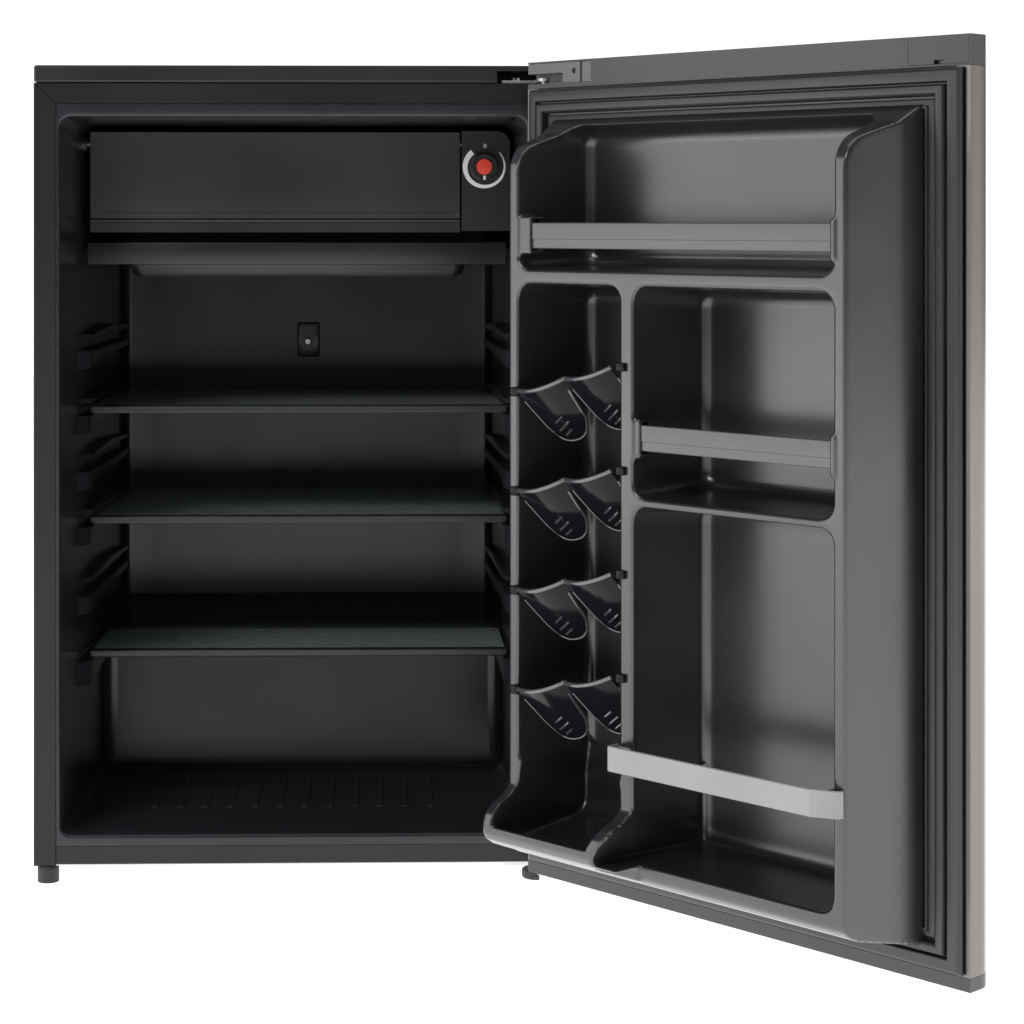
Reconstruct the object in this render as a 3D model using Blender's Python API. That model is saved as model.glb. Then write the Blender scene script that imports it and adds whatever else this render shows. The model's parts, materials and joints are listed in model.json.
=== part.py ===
"""Compact refrigerator with a freezer compartment, its door standing open.

Every size below is in millimetres and is turned into metres where a mesh is made.
X runs left to right across the front, Y runs from the front plane of the cabinet to its
back, and Z is the height above the floor. The pieces are modelled with the door closed;
the door's pivot then turns it to its open rest angle, and the whole assembly is moved
so that the centre of its footprint is the origin.
"""

import math

import bmesh
import bpy
from mathutils import Matrix, Vector

MM = 0.001
GAP = 0.3
SHEET = 1.0

# Cabinet
CAB_W = 527.0
CAB_D = 492.0
BASE_Z = 17.0
SHELL_TOP = 812.0
COVER_TOP = 830.0
FLANGE = 22.5
FLANGE_TOP = 790.7
RAIL_TOP = 36.5

# Liner cavity: its mouth, its back wall, and the step over the compressor
MOUTH = (26.5, 47.9, 500.5, 777.4)
BACK = (43.0, 54.0, 482.0, 768.0)
BACK_Y = 440.0
MOUTH_R = 11.0
BACK_R = 14.0
LINER_T = 2.2
HUMP_Y = 293.0
HUMP_Z = 214.0
HUMP_RISE = 12.0
BAY_Y = 326.0
BAY_TOP = 180.0

# Shelf supports
SHELF_LEVELS = (277.0, 350.0, 409.0, 468.8, 538.0)
UPPER_SHELF_Z = 468.8
LOWER_SHELF_Z = 350.0
CRISPER_SHELF_Z = 206.0
TRAY_RIM_Z = 642.5

# Freezer
FLAP = (40.0, 670.7, 437.0, 767.9)
FLAP_Y = 137.0
FLAP_T = 8.0
FLAP_AXIS_Z = 754.3
EVAPORATOR_Y = 157.0
THERMOSTAT = (438.5, 661.0, 490.0, 768.0)
THERMOSTAT_Y = 128.0
KNOB_X = 462.5
KNOB_Z = 729.7
KNOB_R = 15.5

# Door, in its closed place
DOOR_IN = -12.0
DOOR_OUT = -50.0
DOOR_R = 22.0
DOOR_LOW = 17.0
DOOR_HIGH = 831.0
SKIN_LOW = 29.0
SKIN_HIGH = 804.0
HINGE_X = 518.0
HINGE_Y = -27.5
PIN_R = 4.0
PLATEAU = (43.0, 44.0, 484.0, 772.0)
PLATEAU_Y = -4.0
RIB_Y = 78.0
RIB_IN = 63.0
POCKET_Y = -16.0
SCOOP_LIP_Y = 104.0
COLUMN = (320.0, 452.0)
BAYS = (76.0, 304.0)
LEDGE_1 = (612.0, 625.0)
LEDGE_2 = (411.0, 418.0)
RACK_Z = 508.5
RACK_PITCH = 95.1
RACK_COUNT = 4
DOOR_ANGLE = math.radians(132.0)

COLOURS = {
    "black_steel": ((0.012, 0.012, 0.013), 0.45, 0.0),
    "black_plastic": ((0.014, 0.014, 0.016), 0.35, 0.0),
    "grey_plastic": ((0.05, 0.05, 0.055), 0.4, 0.0),
    "clear_black": ((0.03, 0.03, 0.033), 0.15, 0.0),
    "stainless": ((0.62, 0.60, 0.58), 0.3, 1.0),
    "zinc_steel": ((0.55, 0.55, 0.54), 0.35, 1.0),
    "aluminium": ((0.72, 0.73, 0.74), 0.35, 1.0),
    "copper": ((0.72, 0.36, 0.2), 0.3, 1.0),
    "foam": ((0.8, 0.74, 0.5), 0.9, 0.0),
    "glass": ((0.75, 0.82, 0.8), 0.1, 0.0),
    "rubber": ((0.03, 0.03, 0.03), 0.7, 0.0),
    "red": ((0.7, 0.05, 0.03), 0.35, 0.0),
    "white": ((0.8, 0.8, 0.78), 0.5, 0.0),
}


# Scene and materials


def clear_scene():
    """Take every object out of the scene."""
    for obj in list(bpy.data.objects):
        bpy.data.objects.remove(obj)


def make_materials():
    """One Principled material for each entry of COLOURS."""
    made = {}
    for name, (colour, roughness, metallic) in COLOURS.items():
        mat = bpy.data.materials.new(name)
        mat.use_nodes = True
        shader = mat.node_tree.nodes["Principled BSDF"]
        shader.inputs["Base Color"].default_value = (*colour, 1.0)
        shader.inputs["Roughness"].default_value = roughness
        shader.inputs["Metallic"].default_value = metallic
        made[name] = mat
    return made


# Solids


def finish(bm, name, material):
    """Turn a bmesh in millimetres into a named object in metres."""
    bmesh.ops.recalc_face_normals(bm, faces=bm.faces)
    bmesh.ops.scale(bm, vec=(MM, MM, MM), verts=bm.verts)
    mesh = bpy.data.meshes.new(name)
    bm.to_mesh(mesh)
    bm.free()
    obj = bpy.data.objects.new(name, mesh)
    bpy.context.scene.collection.objects.link(obj)
    mesh.materials.append(MATERIALS[material])
    return obj


def block(name, low, high, material="black_plastic", bevel=0.0, segments=2):
    """A box between two corners, its edges rounded when bevel is given."""
    bm = bmesh.new()
    bmesh.ops.create_cube(bm, size=1.0)
    size = [b - a for a, b in zip(low, high)]
    middle = [(a + b) / 2 for a, b in zip(low, high)]
    bmesh.ops.scale(bm, vec=size, verts=bm.verts)
    bmesh.ops.translate(bm, vec=middle, verts=bm.verts)
    if bevel:
        bmesh.ops.bevel(
            bm, geom=bm.edges[:], offset=bevel, segments=segments, affect="EDGES", profile=0.5
        )
    return finish(bm, name, material)


def loft(name, rings, material="black_plastic"):
    """A closed solid through rings that hold the same number of points, capped at both ends."""
    bm = bmesh.new()
    made = [[bm.verts.new(point) for point in ring] for ring in rings]
    count = len(made[0])
    for first, second in zip(made, made[1:]):
        for i in range(count):
            j = (i + 1) % count
            bm.faces.new((first[i], first[j], second[j], second[i]))
    bm.faces.new(made[0])
    bm.faces.new(made[-1])
    return finish(bm, name, material)


AXIS_ORDER = {
    "x": lambda u, v, w: (w, u, v),
    "y": lambda u, v, w: (u, w, v),
    "z": lambda u, v, w: (u, v, w),
}


def extrusion(name, outline, axis, start, end, material="black_plastic"):
    """Extrude an outline along an axis; its points are given in the two other axes' order."""
    place = AXIS_ORDER[axis]
    rings = [[place(u, v, w) for u, v in outline] for w in (start, end)]
    return loft(name, rings, material)


def turned(name, profile, axis, centre, material="black_plastic", sides=20):
    """Turn a profile of (radius, height) points, its ends on the axis or capped, round an axis."""
    place = AXIS_ORDER[axis]
    u0, v0 = centre
    rings = []
    for radius, height in profile:
        ring = []
        for i in range(sides):
            angle = 2 * math.pi * i / sides
            ring.append(place(u0 + radius * math.cos(angle), v0 + radius * math.sin(angle), height))
        rings.append(ring)
    return loft(name, rings, material)


def cylinder(name, axis, centre, radius, start, end, material="black_plastic", sides=20):
    """A round bar along an axis."""
    return turned(name, [(radius, start), (radius, end)], axis, centre, material, sides)


def arc(cx, cy, radius, start, end, steps):
    """Points on an arc; the angles are in degrees."""
    points = []
    for i in range(steps + 1):
        angle = math.radians(start + (end - start) * i / steps)
        points.append((cx + radius * math.cos(angle), cy + radius * math.sin(angle)))
    return points


def rounded_rect(rect, radius, steps=3):
    """The outline of a rectangle (low u, low v, high u, high v) with round corners."""
    u0, v0, u1, v1 = rect
    points = arc(u1 - radius, v1 - radius, radius, 0, 90, steps)
    points += arc(u0 + radius, v1 - radius, radius, 90, 180, steps)
    points += arc(u0 + radius, v0 + radius, radius, 180, 270, steps)
    points += arc(u1 - radius, v0 + radius, radius, 270, 360, steps)
    return points


def combine(obj, operation, *tools):
    """Apply a Boolean with each tool in turn, and take the tools away."""
    for tool in tools:
        modifier = obj.modifiers.new("combine", "BOOLEAN")
        modifier.operation = operation
        modifier.solver = "EXACT"
        modifier.object = tool
        graph = bpy.context.evaluated_depsgraph_get()
        mesh = bpy.data.meshes.new_from_object(obj.evaluated_get(graph))
        obj.modifiers.clear()
        obj.data = mesh
        bpy.data.objects.remove(tool)
    return obj


def cut(obj, *tools):
    return combine(obj, "DIFFERENCE", *tools)


def join(obj, *tools):
    return combine(obj, "UNION", *tools)


def smooth(obj, angle=35.0):
    """Shade a round piece smooth, keeping its real edges sharp."""
    obj.data.shade_smooth()
    obj.data.set_sharp_from_angle(angle=math.radians(angle))
    return obj


def tube(name, points, radius, material, resolution=2):
    """A round tube along points in millimetres, with closed ends."""
    curve = bpy.data.curves.new(name, "CURVE")
    curve.dimensions = "3D"
    curve.bevel_depth = radius * MM
    curve.bevel_resolution = resolution
    curve.use_fill_caps = True
    spline = curve.splines.new("POLY")
    spline.points.add(len(points) - 1)
    for place, point in zip(spline.points, points):
        place.co = (*(Vector(point) * MM), 1.0)
    obj = bpy.data.objects.new(name, curve)
    bpy.context.scene.collection.objects.link(obj)
    curve.materials.append(MATERIALS[material])
    return obj


def bent_path(corners, radius, steps=4):
    """A path through corners, each inner corner rounded with an arc-like bend."""
    path = [Vector(corners[0])]
    for before, here, after in zip(corners, corners[1:], corners[2:]):
        here = Vector(here)
        start = here + (Vector(before) - here).normalized() * radius
        end = here + (Vector(after) - here).normalized() * radius
        for i in range(steps + 1):
            t = i / steps
            path.append(start * (1 - t) ** 2 + here * 2 * t * (1 - t) + end * t**2)
    path.append(Vector(corners[-1]))
    return path


# Cabinet casing


def make_outer_shell():
    """Steel wrap of the two sides and the top, with the flange it turns in round the mouth."""
    shell = block("outer_shell", (0, 0, BASE_Z), (CAB_W, CAB_D, SHELL_TOP), "black_steel")
    inside = block(
        "inside", (SHEET, SHEET, BASE_Z - 5), (CAB_W - SHEET, CAB_D + 5, SHELL_TOP - SHEET)
    )
    mouth = block("mouth", (FLANGE, -5, BASE_Z - 5), (CAB_W - FLANGE, 5, FLANGE_TOP))
    return cut(shell, inside, mouth)


def make_top_cover():
    """Moulded top with the pocket at its front right corner that the hinge bracket lies in."""
    cover = block(
        "top_cover",
        (0, -1, SHELL_TOP + GAP),
        (CAB_W, CAB_D + 1, COVER_TOP),
        "black_plastic",
        bevel=2.5,
    )
    pocket = block("pocket", (470.5, -5, SHELL_TOP - 5), (CAB_W + 5, 62, 824.5))
    return cut(cover, pocket)


def make_lower_front_rail():
    """Channel across the bottom of the mouth."""
    rail = block(
        "lower_front_rail",
        (FLANGE + GAP, 0, BASE_Z + 1.5),
        (CAB_W - FLANGE - GAP, 18, RAIL_TOP),
        "black_steel",
    )
    hollow = block("hollow", (0, 1.5, BASE_Z + 3.2), (CAB_W, 25, RAIL_TOP - 1.5))
    return cut(rail, hollow)


def make_bottom_panel():
    """Sheet under the foam, from the front to the compressor bay."""
    panel = block(
        "bottom_panel",
        (SHEET + GAP, SHEET + GAP, BASE_Z),
        (CAB_W - SHEET - GAP, BAY_Y - GAP, BASE_Z + 1.2),
        "zinc_steel",
    )
    return cut(panel, cylinder("hole", "z", LEFT_FOOT, FOOT_STUD_R + 0.4, 0, 40))


def make_back_panel():
    """Flat steel back above the compressor bay."""
    return block(
        "back_panel",
        (SHEET + GAP, CAB_D - 1.5, BAY_TOP + 1),
        (CAB_W - SHEET - GAP, CAB_D - 0.5, SHELL_TOP - SHEET - GAP),
        "black_steel",
    )


def make_bay_cover():
    """Bent sheet between the foam and the compressor bay."""
    outline = [
        (BAY_Y, BASE_Z + 2.5),
        (BAY_Y + 1.5, BASE_Z + 2.5),
        (BAY_Y + 1.5, BAY_TOP - 1.5),
        (CAB_D - 2, BAY_TOP - 1.5),
        (CAB_D - 2, BAY_TOP),
        (BAY_Y, BAY_TOP),
    ]
    return extrusion(
        "bay_cover", outline, "x", SHEET + GAP, CAB_W - SHEET - GAP, "zinc_steel"
    )


def make_base_plate():
    """Channel that carries the compressor across the bottom of the bay."""
    plate = block(
        "base_plate",
        (SHEET + GAP, BAY_Y + 2, BASE_Z),
        (CAB_W - SHEET - GAP, CAB_D - 3, BASE_Z + 14),
        "zinc_steel",
    )
    hollow = block("hollow", (-5, BAY_Y + 4, BASE_Z + 2), (CAB_W + 5, CAB_D - 5, BASE_Z + 20))
    return cut(plate, hollow)


def at_depth(front, back, y):
    """A size of the tapered cavity at depth y."""
    return front + (back - front) * y / BACK_Y


def cavity(offset, front_y):
    """The liner's cavity grown by offset on all sides, starting at front_y."""
    back_y = BACK_Y + offset
    rings = []
    for y in (front_y, back_y):
        u0, v0, u1, v1 = [at_depth(front, back, y) for front, back in zip(MOUTH, BACK)]
        radius = at_depth(MOUTH_R, BACK_R, y) + offset
        rect = (u0 - offset, v0 - offset, u1 + offset, v1 + offset)
        rings.append([(u, y, v) for u, v in rounded_rect(rect, radius, 4)])
    room = loft("cavity", rings)
    hump_y = HUMP_Y + offset
    hump = [
        (hump_y, -5),
        (hump_y, HUMP_Z - offset - 6),
        (hump_y + 2, HUMP_Z - offset - 2),
        (hump_y + 6, HUMP_Z - offset),
        (BACK_Y + 20, HUMP_Z - offset + HUMP_RISE),
        (BACK_Y + 20, -5),
    ]
    return cut(room, extrusion("hump", hump, "x", -20, CAB_W + 20))


def wall_x(side, y):
    """The left (side -1) or right (side 1) wall of the cavity at depth y."""
    corner = 0 if side < 0 else 2
    return at_depth(MOUTH[corner], BACK[corner], y)


def wall_ridge(side, outline, depth):
    """A ridge on a side wall: its outline is in Y and Z, and it stands depth out of the wall."""
    rings = []
    for out in (-1.0, depth):
        rings.append([(wall_x(side, y) - side * out, y, z) for y, z in outline])
    return loft("ridge", rings)


def shelf_ridges():
    """The pairs of ridges that each shelf slides between, on both walls, and the tray's."""
    ridges = []
    for side in (-1, 1):
        for level in SHELF_LEVELS:
            low = level - 4.3
            lower = [(104, low - 20), (150, low - 15), (400, low - 7), (400, low), (104, low)]
            high = level + 6.7
            upper = [(126, high), (400, high), (400, high + 5), (260, high + 12), (126, high + 6)]
            ridges.append(wall_ridge(side, lower, 11.0))
            ridges.append(wall_ridge(side, upper, 11.0))
        low = CRISPER_SHELF_Z - 4.3
        crisper = [(112, low - 26), (290, low - 8), (290, low), (112, low)]
        ridges.append(wall_ridge(side, crisper, 11.0))
        low = TRAY_RIM_Z - GAP
        tray = [(150, low - 9), (426, low - 9), (426, low), (150, low)]
        ridges.append(wall_ridge(side, tray, 17.0))
    return ridges


def make_cabinet_liner():
    """Thermoformed inner box: front flange, tapered walls, hump, and the shelf ridges."""
    liner = block(
        "cabinet_liner",
        (FLANGE + GAP, 0, RAIL_TOP + GAP),
        (CAB_W - FLANGE - GAP, 2, FLANGE_TOP - GAP),
        "black_plastic",
    )
    join(liner, cavity(LINER_T, 1.0))
    cut(liner, cavity(0, -3.0))
    join(liner, *shelf_ridges())
    boss = cylinder("boss", "x", (FLAP_Y + FLAP_T / 2, FLAP_AXIS_Z), 6, 30.5, 36.0, sides=16)
    join(liner, boss)
    bore = cylinder("bore", "x", (FLAP_Y + FLAP_T / 2, FLAP_AXIS_Z), 3.5, 33.0, 40.0, sides=16)
    return cut(liner, bore)


def make_cabinet_foam():
    """Insulation between the shell and the liner."""
    edge = SHEET + GAP
    foam = block(
        "cabinet_foam",
        (edge, 2.5, BASE_Z + 1.6),
        (CAB_W - edge, CAB_D - 1.8, SHELL_TOP - edge),
        "foam",
    )
    rail_room = block("rail_room", (FLANGE - 1, -5, -5), (CAB_W - FLANGE + 1, 18.5, RAIL_TOP + 0.5))
    bay = block("bay", (-5, BAY_Y - GAP, -5), (CAB_W + 5, CAB_D + 5, BAY_TOP + GAP))
    stud_room = cylinder("stud_room", "z", LEFT_FOOT, FOOT_STUD_R + 1, 0, 33)
    cut(foam, cavity(LINER_T + GAP, -3.0), rail_room, bay, stud_room)
    left_coil = block("left_coil", (-5, 45, 45), (COIL_POCKET, 470, 795))
    right_coil = block("right_coil", (CAB_W - COIL_POCKET, 45, 45), (CAB_W + 5, 470, 795))
    return cut(foam, left_coil, right_coil)


COIL_POCKET = 8.0
COIL_R = 2.4
COIL_RUNS = 8


def make_condenser(side):
    """Serpentine condenser tube that lies against the inside of a side wall."""
    x = 4.6 if side < 0 else CAB_W - 4.6
    pitch = 32.0
    low = 70.0
    high = 770.0
    points = []
    for run in range(COIL_RUNS):
        y = 80.0 + pitch * run
        upward = run % 2 == 0
        turn_z = high if upward else low
        points.append((x, y, low if upward else high))
        if run == COIL_RUNS - 1:
            points.append((x, y, turn_z))
            break
        sweep = -180 if upward else 180
        for u, v in arc(y + pitch / 2, turn_z, pitch / 2, 180, 180 + sweep, 8):
            points.append((x, u, v))
    spaced = [points[0]]
    for point in points[1:]:
        if (Vector(point) - Vector(spaced[-1])).length > 1:
            spaced.append(point)
    name = "condenser_left" if side < 0 else "condenser_right"
    return tube(name, spaced, COIL_R, "copper")


# Cooling circuit in the bay

COMPRESSOR = (170.0, 412.0)
MOUNT_SPREAD = (62.0, 44.0)
MOUNT_LOW = BASE_Z + 2.3
MOUNT_HIGH = MOUNT_LOW + 10.0


def make_compressor():
    """Hermetic compressor: a welded pot with its lip, standing on a foot plate."""
    foot_low = MOUNT_HIGH + GAP
    profile = [
        (40, foot_low + 2),
        (56, foot_low + 10),
        (60, foot_low + 24),
        (60, 96),
        (63, 98),
        (63, 102),
        (59, 104),
        (57, 138),
        (48, 154),
        (30, 163),
    ]
    pot = turned("compressor", profile, "z", COMPRESSOR, "black_steel", 28)
    cx, cy = COMPRESSOR
    dx, dy = MOUNT_SPREAD[0] + 12, MOUNT_SPREAD[1] + 10
    foot = block("foot", (cx - dx, cy - dy, foot_low), (cx + dx, cy + dy, foot_low + 3.5))
    return smooth(join(pot, foot))


def make_compressor_mounts():
    """Four rubber bushes between the compressor's foot plate and the base plate."""
    cx, cy = COMPRESSOR
    corners = [(sx, sy) for sx in (-1, 1) for sy in (-1, 1)]
    mounts = []
    for number, (sx, sy) in enumerate(corners, 1):
        centre = (cx + sx * MOUNT_SPREAD[0], cy + sy * MOUNT_SPREAD[1])
        profile = [(9, MOUNT_LOW), (9, MOUNT_LOW + 3), (7, MOUNT_LOW + 5), (9, MOUNT_HIGH)]
        mounts.append(
            smooth(turned(f"compressor_mount_{number}", profile, "z", centre, "rubber", 14))
        )
    return mounts


def make_relay_cover():
    """Plastic cover over the compressor's terminals and relay."""
    return block("relay_cover", (234.5, 390, 78), (262, 434, 132), "grey_plastic", bevel=4)


def make_drain_pan():
    """Evaporation pan on top of the compressor."""
    cx, cy = COMPRESSOR
    pan = block("drain_pan", (cx - 55, cy - 50, 163.3), (cx + 55, cy + 50, 176), "grey_plastic")
    return cut(pan, block("well", (cx - 53, cy - 48, 165.3), (cx + 53, cy + 48, 190)))


DRIER_X = (330.0, 420.0)
DRIER_AT = (440.0, 96.0)


def make_filter_drier():
    """Copper filter drier between the condenser and the capillary."""
    x0, x1 = DRIER_X
    profile = [(3, x0), (3, x0 + 8), (9, x0 + 16), (9, x1 - 16), (3, x1 - 8), (3, x1)]
    return smooth(turned("filter_drier", profile, "x", DRIER_AT, "copper", 14))


def make_pipes():
    """Discharge line from the compressor to the drier, and suction line up to the foam."""
    y, z = DRIER_AT
    discharge = bent_path(
        [(207, 466, 112), (222, 478, 112), (300, 478, 112), (300, y, z), (DRIER_X[0] - 0.4, y, z)],
        12,
    )
    suction = bent_path(
        [(125, 372, 112), (92, 350, 112), (60, 350, 130), (60, 350, BAY_TOP - 2)], 14
    )
    return [
        tube("discharge_pipe", discharge, 2.6, "copper"),
        tube("suction_pipe", suction, 3.4, "copper"),
    ]


def make_cord_gland():
    """Rubber gland in the back panel, where a mains cord would come out."""
    centre = (440.0, 230.0)
    y = CAB_D - 0.5 + GAP
    gland = turned("cord_gland", [(10, y), (10, y + 3), (7, y + 6.5)], "y", centre, "rubber", 16)
    return smooth(cut(gland, cylinder("bore", "y", centre, 3.6, y - 5, y + 10, sides=12)))


# Feet

LEFT_FOOT = (13.8, 8.0)
RIGHT_FOOT = (511.5, 12.0)
FOOT_STUD_R = 4.0


def make_feet():
    """Two levelling feet at the front and two fixed ones under the bay."""
    left = [(11, 0), (11, 14), (9.5, 16.4), (FOOT_STUD_R, 16.4), (FOOT_STUD_R, 31)]
    right = [(14, 0), (15, 1.5), (15, 8), (13.5, 9), (FOOT_STUD_R, 9), (FOOT_STUD_R, 16.2)]
    feet = [
        turned("front_left_foot", left, "z", LEFT_FOOT, "rubber", 24),
        turned("front_right_foot", right, "z", RIGHT_FOOT, "rubber", 24),
    ]
    for name, x in (("rear_left_foot", 30.0), ("rear_right_foot", CAB_W - 30.0)):
        profile = [(11, 0), (12, 2), (12, BASE_Z - GAP)]
        feet.append(turned(name, profile, "z", (x, 470.0), "rubber", 20))
    return [smooth(foot) for foot in feet]


# Hinges

ARM_HALF = 8.5
HINGE_SCREWS = ((490.0, 22.0), (490.0, 44.0))


def bracket_outline(plate):
    """Hinge plate outline in X and Y: a rectangle on the cabinet and an arm to the pin."""
    x0, y0, x1, y1 = plate
    points = [(x0, y1), (x0, y0), (HINGE_X - ARM_HALF, y0)]
    points += arc(HINGE_X, HINGE_Y, ARM_HALF, 180, 360, 8)
    points += [(x1, y0), (x1, y1)]
    return points


def make_top_hinge():
    """Steel bracket screwed to the shell's top, its pin pointing down into the door's cap."""
    low = SHELL_TOP + GAP
    plate = bracket_outline((476, 6, 526.5, 56))
    bracket = extrusion("top_hinge_bracket", plate, "z", low, low + 3, "zinc_steel")
    join(bracket, cylinder("pin", "z", (HINGE_X, HINGE_Y), PIN_R, 804.0, low + 1.5))
    for centre in HINGE_SCREWS:
        head = [(5, low + 1), (5, low + 6), (3.5, low + 7.5)]
        join(bracket, turned("head", head, "z", centre, sides=12))
    return smooth(bracket)


def make_bottom_hinge():
    """Steel bracket under the front right corner, its pin pointing up into the door."""
    high = BASE_Z - GAP
    plate = bracket_outline((478, 4, 526.5, 62))
    bracket = extrusion("bottom_hinge_bracket", plate, "z", high - 3, high, "zinc_steel")
    join(bracket, cylinder("pin", "z", (HINGE_X, HINGE_Y), PIN_R, high - 1.5, 25))
    cut(bracket, cylinder("hole", "z", RIGHT_FOOT, FOOT_STUD_R + 0.4, 0, 30))
    return smooth(bracket)


def make_pin_nut():
    """White nylon nut on the lower end of the bottom hinge pin."""
    profile = [(5, 6), (6, 7), (6, BASE_Z - 3 - 2 * GAP)]
    return smooth(turned("bottom_pin_nut", profile, "z", (HINGE_X, HINGE_Y), "white", 16))


# Freezer compartment and thermostat


def make_evaporator():
    """Aluminium evaporator box, open at the front, hung under the liner's roof."""
    low = (46, EVAPORATOR_Y, 661.5)
    high = (436, 428, 765.5)
    box = block("evaporator", low, high, "aluminium", bevel=8, segments=3)
    wall = 1.6
    inside = block(
        "inside",
        (low[0] + wall, low[1] - 20, low[2] + wall),
        (high[0] - wall, high[1] - wall, high[2] - wall),
        bevel=6,
        segments=3,
    )
    return smooth(cut(box, inside))


def make_freezer_frame():
    """Plastic sill and short side posts in front of the evaporator."""
    frame = block("freezer_frame", (40, 138, 659.5), (437, 156.5, 670.2), "black_plastic")
    for x in (40, 431):
        post = block("post", (x, FLAP_Y + FLAP_T + 0.5, 660), (x + 6, 156.5, 736))
        join(frame, post)
    return frame


def make_freezer_flap():
    """Flap of the freezer compartment, with a pivot stub at each end near its top."""
    x0, z0, x1, z1 = FLAP
    flap = block(
        "freezer_flap",
        (x0, FLAP_Y, z0),
        (x1, FLAP_Y + FLAP_T, z1),
        "black_plastic",
        bevel=2.0,
    )
    recess = block(
        "recess", (x0 + 6, FLAP_Y + 2.5, z0 + 6), (x1 - 6, FLAP_Y + FLAP_T + 5, z0 + 74)
    )
    cut(flap, recess)
    axis = (FLAP_Y + FLAP_T / 2, FLAP_AXIS_Z)
    join(flap, cylinder("left_stub", "x", axis, 3.0, 33.6, x0 + 6, sides=16))
    join(flap, cylinder("right_stub", "x", axis, 3.0, x1 - 6, x1 + 6.5, sides=16))
    return smooth(flap)


def make_thermostat():
    """Housing beside the freezer, the thermostat in it, its knob and the knob's cap."""
    x0, z0, x1, z1 = THERMOSTAT
    front = THERMOSTAT_Y
    outline = [(x1, z0), (x1, z1 - 14)] + arc(x1 - 14, z1 - 14, 14, 0, 90, 5)[1:]
    outline += [(x0, z1), (x0, z0)]
    housing = extrusion("thermostat_housing", outline, "y", front, 236, "black_plastic")
    hollow = block("hollow", (x0 + 2.2, front + 2.5, z0 + 2.2), (x1 - 2.2, 250, z1 - 8))
    shaft_hole = cylinder("hole", "y", (KNOB_X, KNOB_Z), 4.0, front - 5, front + 10)
    flap_bore = cylinder(
        "bore", "x", (FLAP_Y + FLAP_T / 2, FLAP_AXIS_Z), 3.5, x0 - 5, x0 + 6, sides=16
    )
    cut(housing, hollow, shaft_hole, flap_bore)
    body = block("thermostat", (448, 152, 706), (478, 184, 748), "zinc_steel", bevel=1.5)
    join(body, cylinder("shaft", "y", (KNOB_X, KNOB_Z), 3.0, front - 9, 154))
    profile = [(13.5, front - 12), (14.5, front - 9), (KNOB_R, front - 2), (KNOB_R, front - 0.5)]
    knob = turned("thermostat_knob", profile, "y", (KNOB_X, KNOB_Z), "black_plastic", 28)
    cut(knob, cylinder("seat", "y", (KNOB_X, KNOB_Z), 9.0, front - 20, front - 11, sides=24))
    cut(knob, cylinder("socket", "y", (KNOB_X, KNOB_Z), 3.3, front - 9.4, front + 5))
    cap = turned(
        "knob_cap",
        [(8.0, front - 13), (8.7, front - 12), (8.7, front - 11 - GAP)],
        "y",
        (KNOB_X, KNOB_Z),
        "red",
        24,
    )
    return [housing, smooth(body), smooth(knob), smooth(cap)]


def make_sensor_cover():
    """Cover of the temperature sensor on the back wall, and its screw."""
    cover = block("sensor_cover", (250.5, 431, 508.4), (278, BACK_Y - GAP, 550.4), bevel=1.5)
    centre = (263.7, 527.6)
    cut(cover, cylinder("hole", "y", centre, 2.1, 425, 445, sides=12))
    profile = [(3.0, 428.7), (3.6, 429.5), (3.6, 430.7), (1.8, 430.7), (1.8, 438.5)]
    screw = turned("sensor_screw", profile, "y", centre, "zinc_steel", 14)
    return [cover, smooth(screw)]


def make_drip_tray():
    """Drip tray under the evaporator: front panel, rim, and a shallow sloping pan."""
    tray = block("drip_tray", (37.8, 130, 625), (486.7, 134, 649), "black_plastic", bevel=1.2)
    rim = block("rim", (44.5, 133, TRAY_RIM_Z), (480.5, 428, TRAY_RIM_Z + 2.5))
    wide = (76.0, 140.0, 447.0, 420.0)
    narrow = (84.0, 165.0, 440.0, 410.0)

    def pan(inset, top, bottom):
        rings = []
        for rect, z in ((wide, top), (narrow, bottom)):
            u0, v0, u1, v1 = rect
            inner = (u0 + inset, v0 + inset, u1 - inset, v1 - inset)
            rings.append([(u, v, z) for u, v in rounded_rect(inner, 8, 2)])
        return loft("pan", rings)

    join(tray, rim, pan(0, TRAY_RIM_Z + 1, 612))
    return cut(tray, pan(2, TRAY_RIM_Z + 6, 614))


# Shelves

GLASS_T = 4.0
SHELF_FRONT = 146.0


def make_shelf(name, z, back_y):
    """Glass shelf and the front trim that grips it."""
    front = SHELF_FRONT + 8
    left = wall_x(-1, back_y) + 3.5
    right = wall_x(1, back_y) - 3.5
    outline = [(right, back_y), (left, back_y), (40.5, front), (486.5, front)]
    low = z - GLASS_T / 2
    glass = extrusion(f"{name}_glass", outline, "z", low, low + GLASS_T, "glass")
    trim = block(
        f"{name}_trim",
        (38.7, SHELF_FRONT, z - 4.0),
        (488.4, SHELF_FRONT + 12, z + 4.0),
        "black_plastic",
        bevel=1.5,
    )
    slot = block("slot", (0, front - GAP, low - GAP), (CAB_W, front + 20, low + GLASS_T + GAP))
    return [glass, cut(trim, slot)]


# Door


def door_outline(inset, inner_y):
    """Outline of the door in X and Y, inset from its faces: square inside, round outside."""
    radius = DOOR_R - inset
    front = DOOR_OUT + DOOR_R
    points = [(inset, inner_y)]
    points += arc(DOOR_R, front, radius, 180, 270, 6)
    points += arc(CAB_W - DOOR_R, front, radius, 270, 360, 6)
    points.append((CAB_W - inset, inner_y))
    return points


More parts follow.
